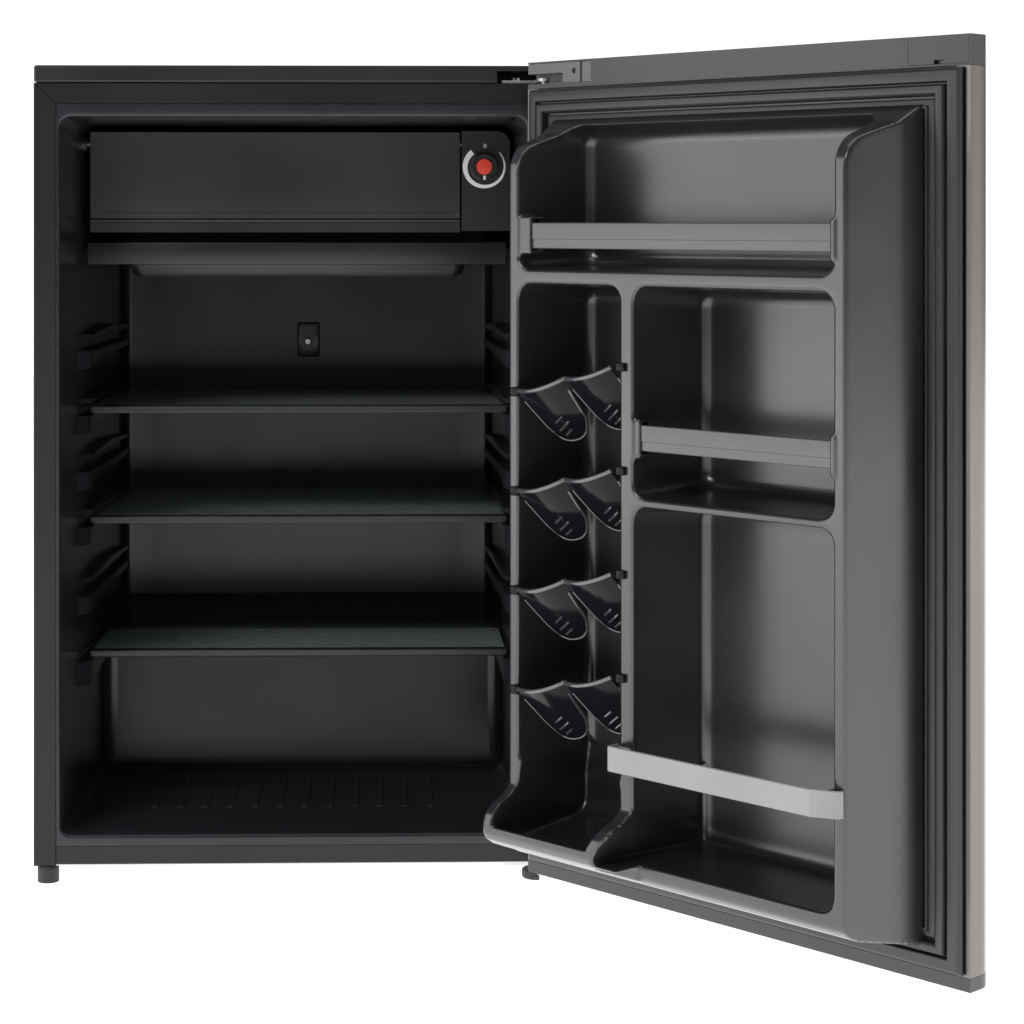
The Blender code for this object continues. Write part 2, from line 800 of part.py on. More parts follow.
def make_door_skin():
    """Stainless sheet round the front and the sides of the door, turned in at the back."""
    lip = 14.0
    outer = door_outline(0, DOOR_IN)
    inner = door_outline(SHEET, DOOR_IN - SHEET)
    outline = [(lip, DOOR_IN)] + outer + [(CAB_W - lip, DOOR_IN)]
    outline += [(CAB_W - lip, DOOR_IN - SHEET)] + inner[::-1] + [(lip, DOOR_IN - SHEET)]
    return smooth(extrusion("door_skin", outline, "z", SKIN_LOW, SKIN_HIGH, "stainless"))


def arm_sweep(low, high):
    """Cutter of the room that the hinge arm needs as the door turns round its pin."""
    half = ARM_HALF + 1.0
    reach = 70.0
    last = math.radians(-58.0)
    dx, dy = math.cos(last), math.sin(last)
    points = [(HINGE_X - half, HINGE_Y), (HINGE_X - half, HINGE_Y + reach)]
    points += arc(HINGE_X, HINGE_Y, reach, 88, -56, 8)
    points.append((HINGE_X + dx * reach + dy * half, HINGE_Y + dy * reach - dx * half))
    points += arc(HINGE_X, HINGE_Y, half, 212, 182, 2)
    return extrusion("sweep", points, "z", low, high)


def make_door_caps():
    """Plastic caps over the top and the bottom of the door."""
    top = extrusion(
        "door_top_cap", door_outline(0, DOOR_IN), "z", SKIN_HIGH + GAP, DOOR_HIGH, "black_plastic"
    )
    cut(top, arm_sweep(809.0, 816.0))
    cut(top, cylinder("bore", "z", (HINGE_X, HINGE_Y), PIN_R + 0.4, 790, 812))
    cut(top, block("insert_room", (454.7, -24, 818.7), (CAB_W + 5, -5, 829.3)))
    cut(top, block("insert_foot", (454.7, -24, 808.7), (479.3, -5, 825)))
    cut(top, block("hinge_room", (479.3, -24, 809.3), (CAB_W + 5, -5, 819)))
    cut(top, block("end_room", (440.7, -24, 808.7), (456, -5, 829.3)))
    cut(top, block("cover_room", (2, -24, 806), (64, -5, 840)))
    bottom = extrusion(
        "door_bottom_cap",
        door_outline(0, DOOR_IN),
        "z",
        DOOR_LOW,
        SKIN_LOW - GAP,
        "black_plastic",
    )
    cut(bottom, cylinder("bore", "z", (HINGE_X, HINGE_Y), PIN_R + 0.4, 0, 26.5))
    return [top, bottom]


def make_hinge_inserts():
    """Screwed insert over the hinge slot, and the cover of the spare slot on the other side."""
    insert = block("hinge_insert", (455, -23.7, 819), (526.6, DOOR_IN, 829), "grey_plastic")
    join(insert, block("foot", (455, -23.7, 809), (479, DOOR_IN, 829)))
    join(insert, block("end", (441, -23.7, 809), (456, DOOR_IN - 1.5, 829)))
    screw_seat = (463.0, 820.3)
    cut(insert, cylinder("seat", "y", screw_seat, 2.8, -18, -5, sides=16))
    cover = block(
        "hinge_pocket_cover", (2.3, -23.7, 806.3), (63.7, DOOR_IN, DOOR_HIGH), "black_plastic"
    )
    cut(cover, block("notch", (27, -16, 800), (37, -5, 810)))
    return [smooth(insert), cover]


def make_door_foam():
    """Insulation inside the door, behind the liner's pockets."""
    edge = SHEET + GAP
    foam = extrusion(
        "door_foam", door_outline(edge, DOOR_IN - 1.5), "z", SKIN_LOW + 3, SKIN_HIGH - 3, "foam"
    )
    x0, z0, x1, z1 = PLATEAU
    room = block("room", (x0 - GAP, POCKET_Y - 3.3, z0 - GAP), (x1 + GAP, 5, z1 + GAP))
    return cut(foam, room)


def pocket(front, back, radius, mouth_y=RIB_Y + 45):
    """Cutter of one moulded pocket, drafted from its back wall to its mouth."""
    rings = []
    for y in (POCKET_Y, mouth_y):
        t = (y - POCKET_Y) / (RIB_Y - POCKET_Y)
        rect = [b + (f - b) * t for f, b in zip(front, back)]
        rings.append([(u, y, v) for u, v in rounded_rect(rect, radius, 3)])
    return loft("pocket", rings)


def make_door_liner():
    """Moulded door lining: flange, plateau, two ribs, divider, ledges and the can scoop."""
    x0, z0, x1, z1 = PLATEAU
    liner = block("door_liner", (14.3, DOOR_IN - 1, 30), (CAB_W - 14.3, DOOR_IN + 1.5, 803))
    profile = [(POCKET_Y - 3, z0), (PLATEAU_Y, z0), (PLATEAU_Y, 52), (64, 64), (72, 68)]
    profile += [(RIB_Y, 76), (RIB_Y, 716)]
    profile += arc(48, 717, 30, 0, 90, 5)[1:]
    profile += [(20, 756), (PLATEAU_Y, z1), (POCKET_Y - 3, z1)]
    envelope = extrusion("envelope", profile, "x", x0, x1)
    for side in (-1, 1):
        wide = x0 if side < 0 else x1
        narrow = RIB_IN if side < 0 else CAB_W - RIB_IN
        away = wide + side * 60
        wedge = [(wide, PLATEAU_Y), (narrow, RIB_Y), (narrow, 200), (away, 200), (away, PLATEAU_Y)]
        cut(envelope, extrusion("wedge", wedge, "z", -20, 850))
    join(liner, envelope)
    scoop = [(60, 60), (72, 62), (92, 72), (104, 80), (112, 87), (115, 96), (112, 108)]
    scoop += [(100, 119), (86, 126), (60, 132)]
    join(liner, extrusion("scoop", scoop, "x", COLUMN[0] - 12, CAB_W - RIB_IN))
    cut(
        liner,
        pocket((75, LEDGE_1[1], 452, 790), (82, LEDGE_1[1] + 4, 446, 757), 8),
        pocket((BAYS[0], LEDGE_2[1], BAYS[1], LEDGE_1[0]), (82, 423, 298, 606), 8),
        pocket((BAYS[0], 84, BAYS[1], LEDGE_2[0]), (82, 90, 298, 405), 8),
        pocket((COLUMN[0], 88, COLUMN[1], LEDGE_1[0]), (326, 94, 446, 606), 8, SCOOP_LIP_Y),
    )
    mouth = block("mouth", (COLUMN[0], RIB_Y - 4, 96), (COLUMN[1], 140, 200))
    return cut(liner, mouth)


def make_door_gasket():
    """Magnetic seal round the door, a ring with a raised inner lip."""
    outer = (6.0, 30.5, 521.0, 803.0)
    ring = loft(
        "door_gasket",
        [[(u, y, v) for u, v in rounded_rect(outer, 3, 1)] for y in (DOOR_IN + 1.8, -3.0)],
        "rubber",
    )
    lip = (16.0, 40.5, 511.0, 793.0)
    raised = loft("lip", [[(u, y, v) for u, v in rounded_rect(lip, 3, 1)] for y in (-4.0, -0.4)])
    join(ring, raised)
    hole = (41.3, 42.2, 485.7, 773.8)
    opening = loft("hole", [[(u, y, v) for u, v in rounded_rect(hole, 1, 1)] for y in (-30, 10)])
    return cut(ring, opening)


def retaining_rail(name, x0, x1, z0, z1):
    """Rail that keeps bottles and jars on a door shelf, its ends turned back."""
    front = RIB_Y - 3.5
    wall = 3.0
    outline = [(x0, front - 14), (x0, front), (x1, front), (x1, front - 14)]
    outline += [(x1 - wall, front - 14), (x1 - wall, front - wall)]
    outline += [(x0 + wall, front - wall), (x0 + wall, front - 14)]
    return extrusion(name, outline, "z", z0, z1, "grey_plastic")


def make_rails():
    """The two rails between the pocket walls, and the tall one in front of the lowest pocket."""
    bottle = [(64.3, 78.4), (66, 85), (90, 95), (321, 95), (321, 80.4), (318, 80.4)]
    bottle += [(318, 92), (91, 92), (80.5, 87.9), (80.5, 64), (77.8, 64), (77.8, 86.8)]
    bottle += [(68.6, 83.2), (67.2, 78.4)]
    return [
        retaining_rail("top_rail", 76.6, 450.4, 645.4, 670.2),
        retaining_rail("middle_rail", 77.2, 302.6, 461.5, 485.5),
        extrusion("bottle_rail", bottle, "z", 169.0, 192.0, "grey_plastic"),
    ]


def make_can_rack(number):
    """Double cradle for two cans: troughs that slope into the door from a scalloped rim."""
    z0 = RACK_Z - RACK_PITCH * (number - 1)
    across = Vector((-134.0, 0.0, 31.0)).normalized()
    inward = Vector((-0.16, -0.66, -0.73)).normalized()
    up = inward.cross(across).normalized()
    if up.z < 0:
        up = -up
    corner = Vector((451.2, 81.0, z0))
    half = 29.5
    samples = []
    for middle in (32.5, 97.5):
        for i in range(9):
            q = -1 + 2 * i / 8
            sag = 6.0 * (1 - q * q)
            reach = 12 + 54 * (1 - abs(q) ** 2.6) ** 0.385
            samples.append((middle + q * half, -sag, reach))
        if middle < 60:
            samples.append((65.0, 1.0, 12.0))
    steps = 5
    bm = bmesh.new()
    layers = []
    for drop in (0.0, -2.2):
        rows = []
        for s, height, reach in samples:
            row = []
            for t in range(steps + 1):
                place = corner + across * s + inward * (reach * t / steps) + up * (height + drop)
                row.append(bm.verts.new(place))
            rows.append(row)
        layers.append(rows)
    top, under = layers
    for i in range(len(samples) - 1):
        for t in range(steps):
            bm.faces.new((top[i][t], top[i][t + 1], top[i + 1][t + 1], top[i + 1][t]))
            bm.faces.new((under[i][t], under[i + 1][t], under[i + 1][t + 1], under[i][t + 1]))
        bm.faces.new((top[i][0], top[i + 1][0], under[i + 1][0], under[i][0]))
        bm.faces.new((top[i][-1], under[i][-1], under[i + 1][-1], top[i + 1][-1]))
    for i in (0, -1):
        for t in range(steps):
            ring = (top[i][t], under[i][t], under[i][t + 1], top[i][t + 1])
            bm.faces.new(ring)
    rack = finish(bm, f"can_rack_{number}", "clear_black")
    left = block("left_clip", (446.5, 78.6, z0 - 6), (464, 84.6, z0 + 6))
    right_z = z0 + 31.0
    right = block("right_clip", (306, 78.6, right_z - 7), (332, 84.6, right_z + 3))
    return join(rack, left, right)


# Assembly


def pivot(name, location, *pieces):
    """An empty on a joint's axis that carries the pieces turning or sliding there."""
    empty = bpy.data.objects.new(name, None)
    bpy.context.scene.collection.objects.link(empty)
    empty.location = Vector(location) * MM
    for piece in pieces:
        piece.parent = empty
        piece.matrix_parent_inverse = Matrix.Translation(-empty.location)
    return empty


def footprint_centre(objects):
    """The middle of the assembly's box in X and Y, and its lowest Z."""
    bpy.context.view_layer.update()
    graph = bpy.context.evaluated_depsgraph_get()
    points = []
    for obj in objects:
        evaluated = obj.evaluated_get(graph)
        points += [evaluated.matrix_world @ vertex.co for vertex in evaluated.to_mesh().vertices]
        evaluated.to_mesh_clear()
    low = [min(point[i] for point in points) for i in range(3)]
    high = [max(point[i] for point in points) for i in range(3)]
    return Vector(((low[0] + high[0]) / 2, (low[1] + high[1]) / 2, low[2]))


def build():
    """Make every piece, hang the moving ones on their pivots, and place the assembly."""
    make_outer_shell()
    make_top_cover()
    make_lower_front_rail()
    make_bottom_panel()
    make_back_panel()
    make_bay_cover()
    make_base_plate()
    make_cabinet_liner()
    make_cabinet_foam()
    make_condenser(-1)
    make_condenser(1)
    make_compressor()
    make_compressor_mounts()
    make_relay_cover()
    make_drain_pan()
    make_filter_drier()
    make_pipes()
    make_cord_gland()
    front_left_foot, front_right_foot, _, _ = make_feet()
    make_top_hinge()
    make_bottom_hinge()
    make_pin_nut()
    make_evaporator()
    make_freezer_frame()
    flap = make_freezer_flap()
    _, _, knob, cap = make_thermostat()
    make_sensor_cover()
    tray = make_drip_tray()
    shelves = {
        "upper_shelf": make_shelf("upper_shelf", UPPER_SHELF_Z, 436.0),
        "lower_shelf": make_shelf("lower_shelf", LOWER_SHELF_Z, 436.0),
        "crisper_shelf": make_shelf("crisper_shelf", CRISPER_SHELF_Z, 291.5),
    }
    door = [make_door_skin(), *make_door_caps(), *make_hinge_inserts(), make_door_foam()]
    door += [make_door_liner(), make_door_gasket(), *make_rails()]
    door += [make_can_rack(number) for number in range(1, RACK_COUNT + 1)]

    solids = [obj for obj in bpy.context.scene.objects if obj.type in ("MESH", "CURVE")]
    pivots = [
        pivot("door_pivot", (HINGE_X, HINGE_Y, 0), *door),
        pivot("flap_pivot", (0, FLAP_Y + FLAP_T / 2, FLAP_AXIS_Z), flap),
        pivot("knob_pivot", (KNOB_X, THERMOSTAT_Y, KNOB_Z), knob, cap),
        pivot("tray_pivot", (CAB_W / 2, 130, TRAY_RIM_Z), tray),
        pivot("front_left_foot_pivot", (*LEFT_FOOT, 0), front_left_foot),
        pivot("front_right_foot_pivot", (*RIGHT_FOOT, 0), front_right_foot),
    ]
    for name, pieces in shelves.items():
        pivots.append(pivot(f"{name}_pivot", (CAB_W / 2, SHELF_FRONT, 0), *pieces))
    pivots[0].rotation_euler.z = DOOR_ANGLE

    root = bpy.data.objects.new("mini_fridge", None)
    bpy.context.scene.collection.objects.link(root)
    root.location = -footprint_centre(solids)
    for obj in solids + pivots:
        if obj.parent is None:
            obj.parent = root


clear_scene()
MATERIALS = make_materials()
build()
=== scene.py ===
"""Looks of the compact refrigerator: finished shells, seals, racks and materials on its frame.

Pieces are modelled in millimetres in the cabinet's own axes: X from its left side, Y back
from its front plane, Z up from the floor. Door pieces use the same axes with the door
closed, and DOOR then turns them to the angle that the frame's door stands at.
"""

import json
import math

import bmesh
import bpy
from mathutils import Matrix, Vector


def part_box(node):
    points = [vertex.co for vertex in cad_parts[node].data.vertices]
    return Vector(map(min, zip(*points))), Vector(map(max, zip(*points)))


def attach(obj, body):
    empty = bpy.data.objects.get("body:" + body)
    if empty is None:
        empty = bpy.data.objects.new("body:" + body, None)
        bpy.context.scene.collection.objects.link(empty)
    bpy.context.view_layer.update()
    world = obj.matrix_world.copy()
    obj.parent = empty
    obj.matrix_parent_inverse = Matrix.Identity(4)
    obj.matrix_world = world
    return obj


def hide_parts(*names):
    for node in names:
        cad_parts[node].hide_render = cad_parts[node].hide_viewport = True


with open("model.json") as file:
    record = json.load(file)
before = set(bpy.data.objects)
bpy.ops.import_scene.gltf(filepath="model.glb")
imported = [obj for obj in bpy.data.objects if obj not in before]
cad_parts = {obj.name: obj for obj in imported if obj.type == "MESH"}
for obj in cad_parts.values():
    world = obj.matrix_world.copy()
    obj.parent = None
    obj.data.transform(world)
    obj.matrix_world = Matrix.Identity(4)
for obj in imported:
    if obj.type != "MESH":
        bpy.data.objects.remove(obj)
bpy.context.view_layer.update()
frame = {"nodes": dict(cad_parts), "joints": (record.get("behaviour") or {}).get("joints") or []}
NODES = frame["nodes"]
JOINTS = {joint["name"]: joint for joint in frame["joints"]}

MM = 0.001
SHELL_LOW, SHELL_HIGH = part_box("outer_shell")
ORIGIN = Vector((SHELL_LOW.x, SHELL_LOW.y, 0.0))
CAB_W = (SHELL_HIGH.x - SHELL_LOW.x) / MM
CABINET = Matrix.Translation(ORIGIN) @ Matrix.Scale(MM, 4)
HINGE = (Vector(JOINTS["door_hinge"]["pos_m"]) - ORIGIN) / MM
HINGE.z = 0.0
REST_ANGLE = math.radians(-JOINTS["door_hinge"]["range_deg"][0])
DOOR = (
    CABINET
    @ Matrix.Translation(HINGE)
    @ Matrix.Rotation(REST_ANGLE, 4, "Z")
    @ Matrix.Translation(-HINGE)
)

# Cabinet liner
MOUTH = (26.5, 47.9, 500.5, 777.4)
BACK = (43.0, 54.0, 482.0, 768.0)
BACK_Y = 440.0
HUMP_Y = 293.0
HUMP_Z = 214.0
SHELF_LEVELS = (277.0, 350.0, 409.0, 468.8, 538.0)
CRISPER_Z = 206.0

# Door liner
PLATEAU = (43.0, 44.0, 484.0, 772.0)
PLATEAU_Y = -4.0
FLANGE_Y = -10.5
RIB_Y = 78.0
POCKET_Y = -16.0
POCKET_FOOT_R = 11.0
COLUMN = (320.0, 452.0)
BAYS = (76.0, 304.0)
LEDGE_1 = (612.0, 625.0)
LEDGE_2 = (411.0, 418.0)
RACK_Z = 508.5
RACK_PITCH = 95.1
RACK_COUNT = 4

# Thermostat
KNOB = (462.5, 729.7)
PANEL_Y = 128.0


# Materials

TEXTURE_LOW = 0.3
TEXTURE_HIGH = 0.7


def principled(name, colour, roughness, metallic=0.0):
    """A new material, its node tree and its Principled shader."""
    mat = bpy.data.materials.new(name)
    mat.use_nodes = True
    shader = mat.node_tree.nodes["Principled BSDF"]
    shader.inputs["Base Color"].default_value = (*colour, 1.0)
    shader.inputs["Roughness"].default_value = roughness
    shader.inputs["Metallic"].default_value = metallic
    return mat, mat.node_tree, shader


def noise(tree, scale, detail=4.0, stretch=(1.0, 1.0, 1.0), kind="Noise"):
    """A procedural texture in object space, and the socket its value comes from."""
    place = tree.nodes.new("ShaderNodeTexCoord")
    mapping = tree.nodes.new("ShaderNodeMapping")
    mapping.inputs["Scale"].default_value = stretch
    tree.links.new(place.outputs["Object"], mapping.inputs["Vector"])
    if kind == "Noise":
        texture = tree.nodes.new("ShaderNodeTexNoise")
        texture.inputs["Detail"].default_value = detail
        value = texture.outputs["Fac"]
    else:
        texture = tree.nodes.new("ShaderNodeTexVoronoi")
        value = texture.outputs["Distance"]
    texture.inputs["Scale"].default_value = scale
    tree.links.new(mapping.outputs["Vector"], texture.inputs["Vector"])
    return value


def spread(tree, value, low, high):
    """Map the middle of a texture's range onto a range of numbers."""
    ramp = tree.nodes.new("ShaderNodeMapRange")
    ramp.inputs["From Min"].default_value = TEXTURE_LOW
    ramp.inputs["From Max"].default_value = TEXTURE_HIGH
    ramp.inputs["To Min"].default_value = low
    ramp.inputs["To Max"].default_value = high
    tree.links.new(value, ramp.inputs["Value"])
    return ramp.outputs["Result"]


def tint(tree, value, dark, light):
    """Map the middle of a texture's range onto a range of colours."""
    ramp = tree.nodes.new("ShaderNodeValToRGB")
    ramp.color_ramp.elements[0].position = TEXTURE_LOW
    ramp.color_ramp.elements[0].color = (*dark, 1.0)
    ramp.color_ramp.elements[1].position = TEXTURE_HIGH
    ramp.color_ramp.elements[1].color = (*light, 1.0)
    tree.links.new(value, ramp.inputs["Fac"])
    return ramp.outputs["Color"]


def bump(tree, shader, value, strength, depth):
    """Give the shader a bump from a texture's value; depth is in metres."""
    node = tree.nodes.new("ShaderNodeBump")
    node.inputs["Strength"].default_value = strength
    node.inputs["Distance"].default_value = depth
    tree.links.new(value, node.inputs["Height"])
    tree.links.new(node.outputs["Normal"], shader.inputs["Normal"])


def moulded(name, colour, roughness, grain=900.0, depth=0.00004, strength=0.25, gloss_level=0.5):
    """Moulded plastic: a fine grain, a slow change of gloss, and a little change of tone."""
    mat, tree, shader = principled(name, colour, roughness)
    shader.inputs["Specular IOR Level"].default_value = gloss_level
    slow = noise(tree, 7.0, 2.0)
    gloss = spread(tree, slow, roughness * 0.88, roughness * 1.15)
    tree.links.new(gloss, shader.inputs["Roughness"])
    light = tuple(min(1.0, c * 1.25 + 0.001) for c in colour)
    dark = tuple(c * 0.85 for c in colour)
    tree.links.new(tint(tree, slow, dark, light), shader.inputs["Base Color"])
    bump(tree, shader, noise(tree, grain, 2.0), strength, depth)
    return mat


def painted_steel(name, colour, roughness):
    """Powder paint on sheet steel, with a fine orange-peel surface."""
    mat, tree, shader = principled(name, colour, roughness)
    shader.inputs["Specular IOR Level"].default_value = 0.34
    gloss = spread(tree, noise(tree, 5.0, 2.0), roughness * 0.9, roughness * 1.15)
    tree.links.new(gloss, shader.inputs["Roughness"])
    bump(tree, shader, noise(tree, 420.0, 3.0), 0.35, 0.00006)
    return mat


def brushed(name, colour, roughness, stretch):
    """Metal with a brushed grain along the axis that stretch leaves short."""
    mat, tree, shader = principled(name, colour, roughness, metallic=1.0)
    grain = noise(tree, 60.0, 6.0, stretch)
    tree.links.new(spread(tree, grain, roughness * 0.75, roughness * 1.3), shader.inputs["Roughness"])
    dark = tuple(c * 0.86 for c in colour)
    light = tuple(min(1.0, c * 1.08) for c in colour)
    tree.links.new(tint(tree, grain, dark, light), shader.inputs["Base Color"])
    bump(tree, shader, grain, 0.12, 0.00003)
    return mat


def smoked_clear(name, gloss_level, colour=(0.007, 0.007, 0.009)):
    """Glossy, nearly black plastic of the can racks; a paler colour, where given, is a painted
    highlight.
    """
    mat, tree, shader = principled(name, colour, 0.09)
    shader.inputs["Specular IOR Level"].default_value = gloss_level
    flow = spread(tree, noise(tree, 30.0, 3.0), 0.06, 0.16)
    tree.links.new(flow, shader.inputs["Roughness"])
    bump(tree, shader, noise(tree, 90.0, 2.0), 0.08, 0.0002)
    return mat


def shelf_glass(name):
    """Greenish glass of a patterned pane, part clear, with a dimpled surface."""
    mat, tree, shader = principled(name, (0.36, 0.41, 0.4), 0.06)
    shader.inputs["Transmission Weight"].default_value = 0.35
    shader.inputs["IOR"].default_value = 1.5
    pebbles = noise(tree, 230.0, 2.0, kind="Voronoi")
    tree.links.new(spread(tree, pebbles, 0.03, 0.16), shader.inputs["Roughness"])
    bump(tree, shader, pebbles, 0.8, 0.0012)
    return mat


def soft_foam(name):
    """Cut polyurethane foam."""
    mat, tree, shader = principled(name, (0.78, 0.7, 0.45), 0.9)
    cells = noise(tree, 700.0, kind="Voronoi")
    tree.links.new(tint(tree, cells, (0.6, 0.52, 0.3), (0.82, 0.75, 0.5)), shader.inputs["Base Color"])
    bump(tree, shader, cells, 0.6, 0.0004)
    return mat


def make_materials():
    """Every material of the object, by name."""
    return {
        "shell": painted_steel("shell_paint", (0.006, 0.006, 0.007), 0.36),
        "cover": moulded("cover_plastic", (0.006, 0.006, 0.007), 0.42, 650.0, 0.00008, 0.4, 0.4),
        "cap_black": moulded("door_cap_plastic", (0.012, 0.012, 0.014), 0.4, gloss_level=0.7),
        "liner": moulded("liner_plastic", (0.017, 0.017, 0.021), 0.22, 1100.0, 0.00002, 0.15, 0.34),
        "door_liner": moulded(
            "door_liner_plastic", (0.015, 0.015, 0.018), 0.25, 1100.0, 0.00003, 0.2, 0.88
        ),
        "trim": moulded("trim_plastic", (0.008, 0.008, 0.009), 0.36),
        "flap": moulded("flap_plastic", (0.016, 0.016, 0.018), 0.42, 700.0, 0.00006, 0.35, 0.9),
        "rail": moulded("rail_plastic", (0.030, 0.030, 0.034), 0.36, gloss_level=1.0),
        # The bottle rail is the same dark grey plastic as the other rails; this much paler base colour
        # is a painted reflection of the bright floor.
        "bottle_rail": moulded(
            "bottle_rail_plastic_painted_reflection", (0.24, 0.24, 0.25), 0.36, gloss_level=1.0
        ),
        "seal": moulded("seal_rubber", (0.012, 0.012, 0.014), 0.4, 500.0, 0.00003, 0.2, 0.65),
        "foot": moulded("foot_rubber", (0.012, 0.012, 0.012), 0.6, 300.0, 0.0001, 0.5),
        "knob": moulded("knob_plastic", (0.010, 0.010, 0.011), 0.34),
        "cap": moulded("cap_plastic", (0.9, 0.07, 0.035), 0.35),
        "nylon": moulded("nylon_plastic", (0.75, 0.75, 0.73), 0.5),
        "print": moulded("print_ink", (0.9, 0.9, 0.9), 0.55),
        "rack": smoked_clear("rack_plastic", 0.12),
        # The racks' rims and ridges are the same smoked plastic; this paler, glossier copy is a
        # painted highlight along them.
        "rack_rim_painted_highlight": smoked_clear("rack_plastic_painted_highlight", 1.0, (0.05, 0.05, 0.055)),
        "glass": shelf_glass("shelf_glass"),
        "steel": brushed("door_steel", (0.165, 0.152, 0.143), 0.3, (1.0, 1.0, 0.015)),
        "zinc": brushed("zinc_steel", (0.5, 0.5, 0.49), 0.34, (1.0, 0.05, 1.0)),
        "aluminium": brushed("rolled_aluminium", (0.68, 0.69, 0.7), 0.4, (1.0, 0.05, 1.0)),
        "copper": brushed("copper_tube", (0.7, 0.36, 0.2), 0.3, (1.0, 1.0, 0.3)),
        "foam": soft_foam("insulation_foam"),
    }


MATERIALS = make_materials()


# Meshes

PIECE_SHARP = 38.0
NODE_SHARP = 35.0


def place(bm, name, material, body, slot, replaced=(), transform=CABINET, sharp=PIECE_SHARP):
    """Turn a bmesh in millimetres into a finished piece that rides on a body."""
    bmesh.ops.recalc_face_normals(bm, faces=bm.faces)
    mesh = bpy.data.meshes.new(name)
    bm.to_mesh(mesh)
    bm.free()
    mesh.transform(transform)
    return adopt(mesh, name, material, body, replaced, sharp)


def adopt(mesh, name, material, body, replaced=(), sharp=PIECE_SHARP):
    """Link a mesh as a piece: its material, its shading, and the nodes it stands for."""
    obj = bpy.data.objects.new(name, mesh)
    bpy.context.scene.collection.objects.link(obj)
    mesh.materials.clear()
    mesh.materials.append(MATERIALS[material])
    mesh.shade_smooth()
    mesh.set_sharp_from_angle(angle=math.radians(sharp))
    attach(obj, body)
    if replaced:
        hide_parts(*replaced)
    return obj


def bevel(obj, width):
    """Round an object's edges with a modifier; the width is in millimetres."""
    modifier = obj.modifiers.new("edge_radius", "BEVEL")
    modifier.width = width * MM
    modifier.segments = 2
    modifier.limit_method = "ANGLE"
    modifier.angle_limit = math.radians(NODE_SHARP)
    modifier.harden_normals = True
    modifier.use_clamp_overlap = True
    return obj


def add_rings(bm, rings, closed=False):
    """Add a solid through rings with equal counts of points; closed joins last ring to first."""
    made = [[bm.verts.new(point) for point in ring] for ring in rings]
    pairs = list(zip(made, made[1:]))
    if closed:
        pairs.append((made[-1], made[0]))
    count = len(made[0])
    for first, second in pairs:
        for i in range(count):
            j = (i + 1) % count
            bm.faces.new((first[i], first[j], second[j], second[i]))
    if not closed:
        bm.faces.new(made[0])
        bm.faces.new(made[-1])
    return bm


def add_block(bm, low, high):
    """Add a plain box between two corners."""
    (x0, y0, z0), (x1, y1, z1) = low, high
    base = [(x0, y0), (x1, y0), (x1, y1), (x0, y1)]
    return add_rings(bm, [[(x, y, z) for x, y in base] for z in (z0, z1)])


def add_soft_block(bm, low, high, radius, segments=3):
    """Add a box with rounded edges."""
    part = bmesh.new()
    add_block(part, low, high)
    bmesh.ops.bevel(
        part, geom=part.edges[:], offset=radius, segments=segments, affect="EDGES", profile=0.5
    )
    return add_mesh(bm, part)


def add_mesh(bm, part):
    """Move another bmesh's faces into this one."""
    made = {vert: bm.verts.new(vert.co) for vert in part.verts}
    for face in part.faces:
        bm.faces.new([made[vert] for vert in face.verts])
    part.free()
    return bm


AXIS_ORDER = {
    "x": lambda u, v, w: (w, u, v),
    "y": lambda u, v, w: (u, w, v),
    "z": lambda u, v, w: (u, v, w),
}


def add_extrusion(bm, outline, axis, start, end):
    """Add an outline pulled along an axis."""
    order = AXIS_ORDER[axis]
    return add_rings(bm, [[order(u, v, w) for u, v in outline] for w in (start, end)])


def add_turned(bm, profile, axis, centre, sides=32):
    """Add a profile of (radius, height) points turned round an axis."""
    order = AXIS_ORDER[axis]
    rings = []
    for radius, height in profile:
        angles = [2 * math.pi * i / sides for i in range(sides)]
        circle = [(centre[0] + radius * math.cos(a), centre[1] + radius * math.sin(a)) for a in angles]
        rings.append([order(u, v, height) for u, v in circle])
    return add_rings(bm, rings)


def arc(cx, cy, radius, start, end, steps):
    """Points on an arc; the angles are in degrees."""
    angles = [math.radians(start + (end - start) * i / steps) for i in range(steps + 1)]
    return [(cx + radius * math.cos(a), cy + radius * math.sin(a)) for a in angles]


def rounded_rect(rect, radius, steps=6):
    """The outline of a rectangle with round corners."""
    u0, v0, u1, v1 = rect
    points = arc(u1 - radius, v1 - radius, radius, 0, 90, steps)
    points += arc(u0 + radius, v1 - radius, radius, 90, 180, steps)
    points += arc(u0 + radius, v0 + radius, radius, 180, 270, steps)
    points += arc(u1 - radius, v0 + radius, radius, 270, 360, steps)
    return points


def inset(rect, amount):
    """A rectangle moved in by an amount on every side."""
    u0, v0, u1, v1 = rect
    return (u0 + amount, v0 + amount, u1 - amount, v1 - amount)


def solid(build, *args):
    """A helper object, in millimetres, from a function that adds to a bmesh."""
    bm = bmesh.new()
    build(bm, *args)
    bmesh.ops.recalc_face_normals(bm, faces=bm.faces)
    mesh = bpy.data.meshes.new("helper")
    bm.to_mesh(mesh)
    bm.free()
    obj = bpy.data.objects.new("helper", mesh)
    bpy.context.scene.collection.objects.link(obj)
    return obj


def combine(obj, operation, *tools):
    """Apply a Boolean with each tool in turn and take the tools away."""
    for tool in tools:
        modifier = obj.modifiers.new("combine", "BOOLEAN")
        modifier.operation = operation
        modifier.solver = "EXACT"
        modifier.object = tool
        bake(obj)
        bpy.data.objects.remove(tool)
    return obj


def bake(obj):
    """Replace an object's mesh with what its modifiers make of it."""
    graph = bpy.context.evaluated_depsgraph_get()
    mesh = bpy.data.meshes.new_from_object(obj.evaluated_get(graph))
    obj.modifiers.clear()
    obj.data = mesh
    return obj


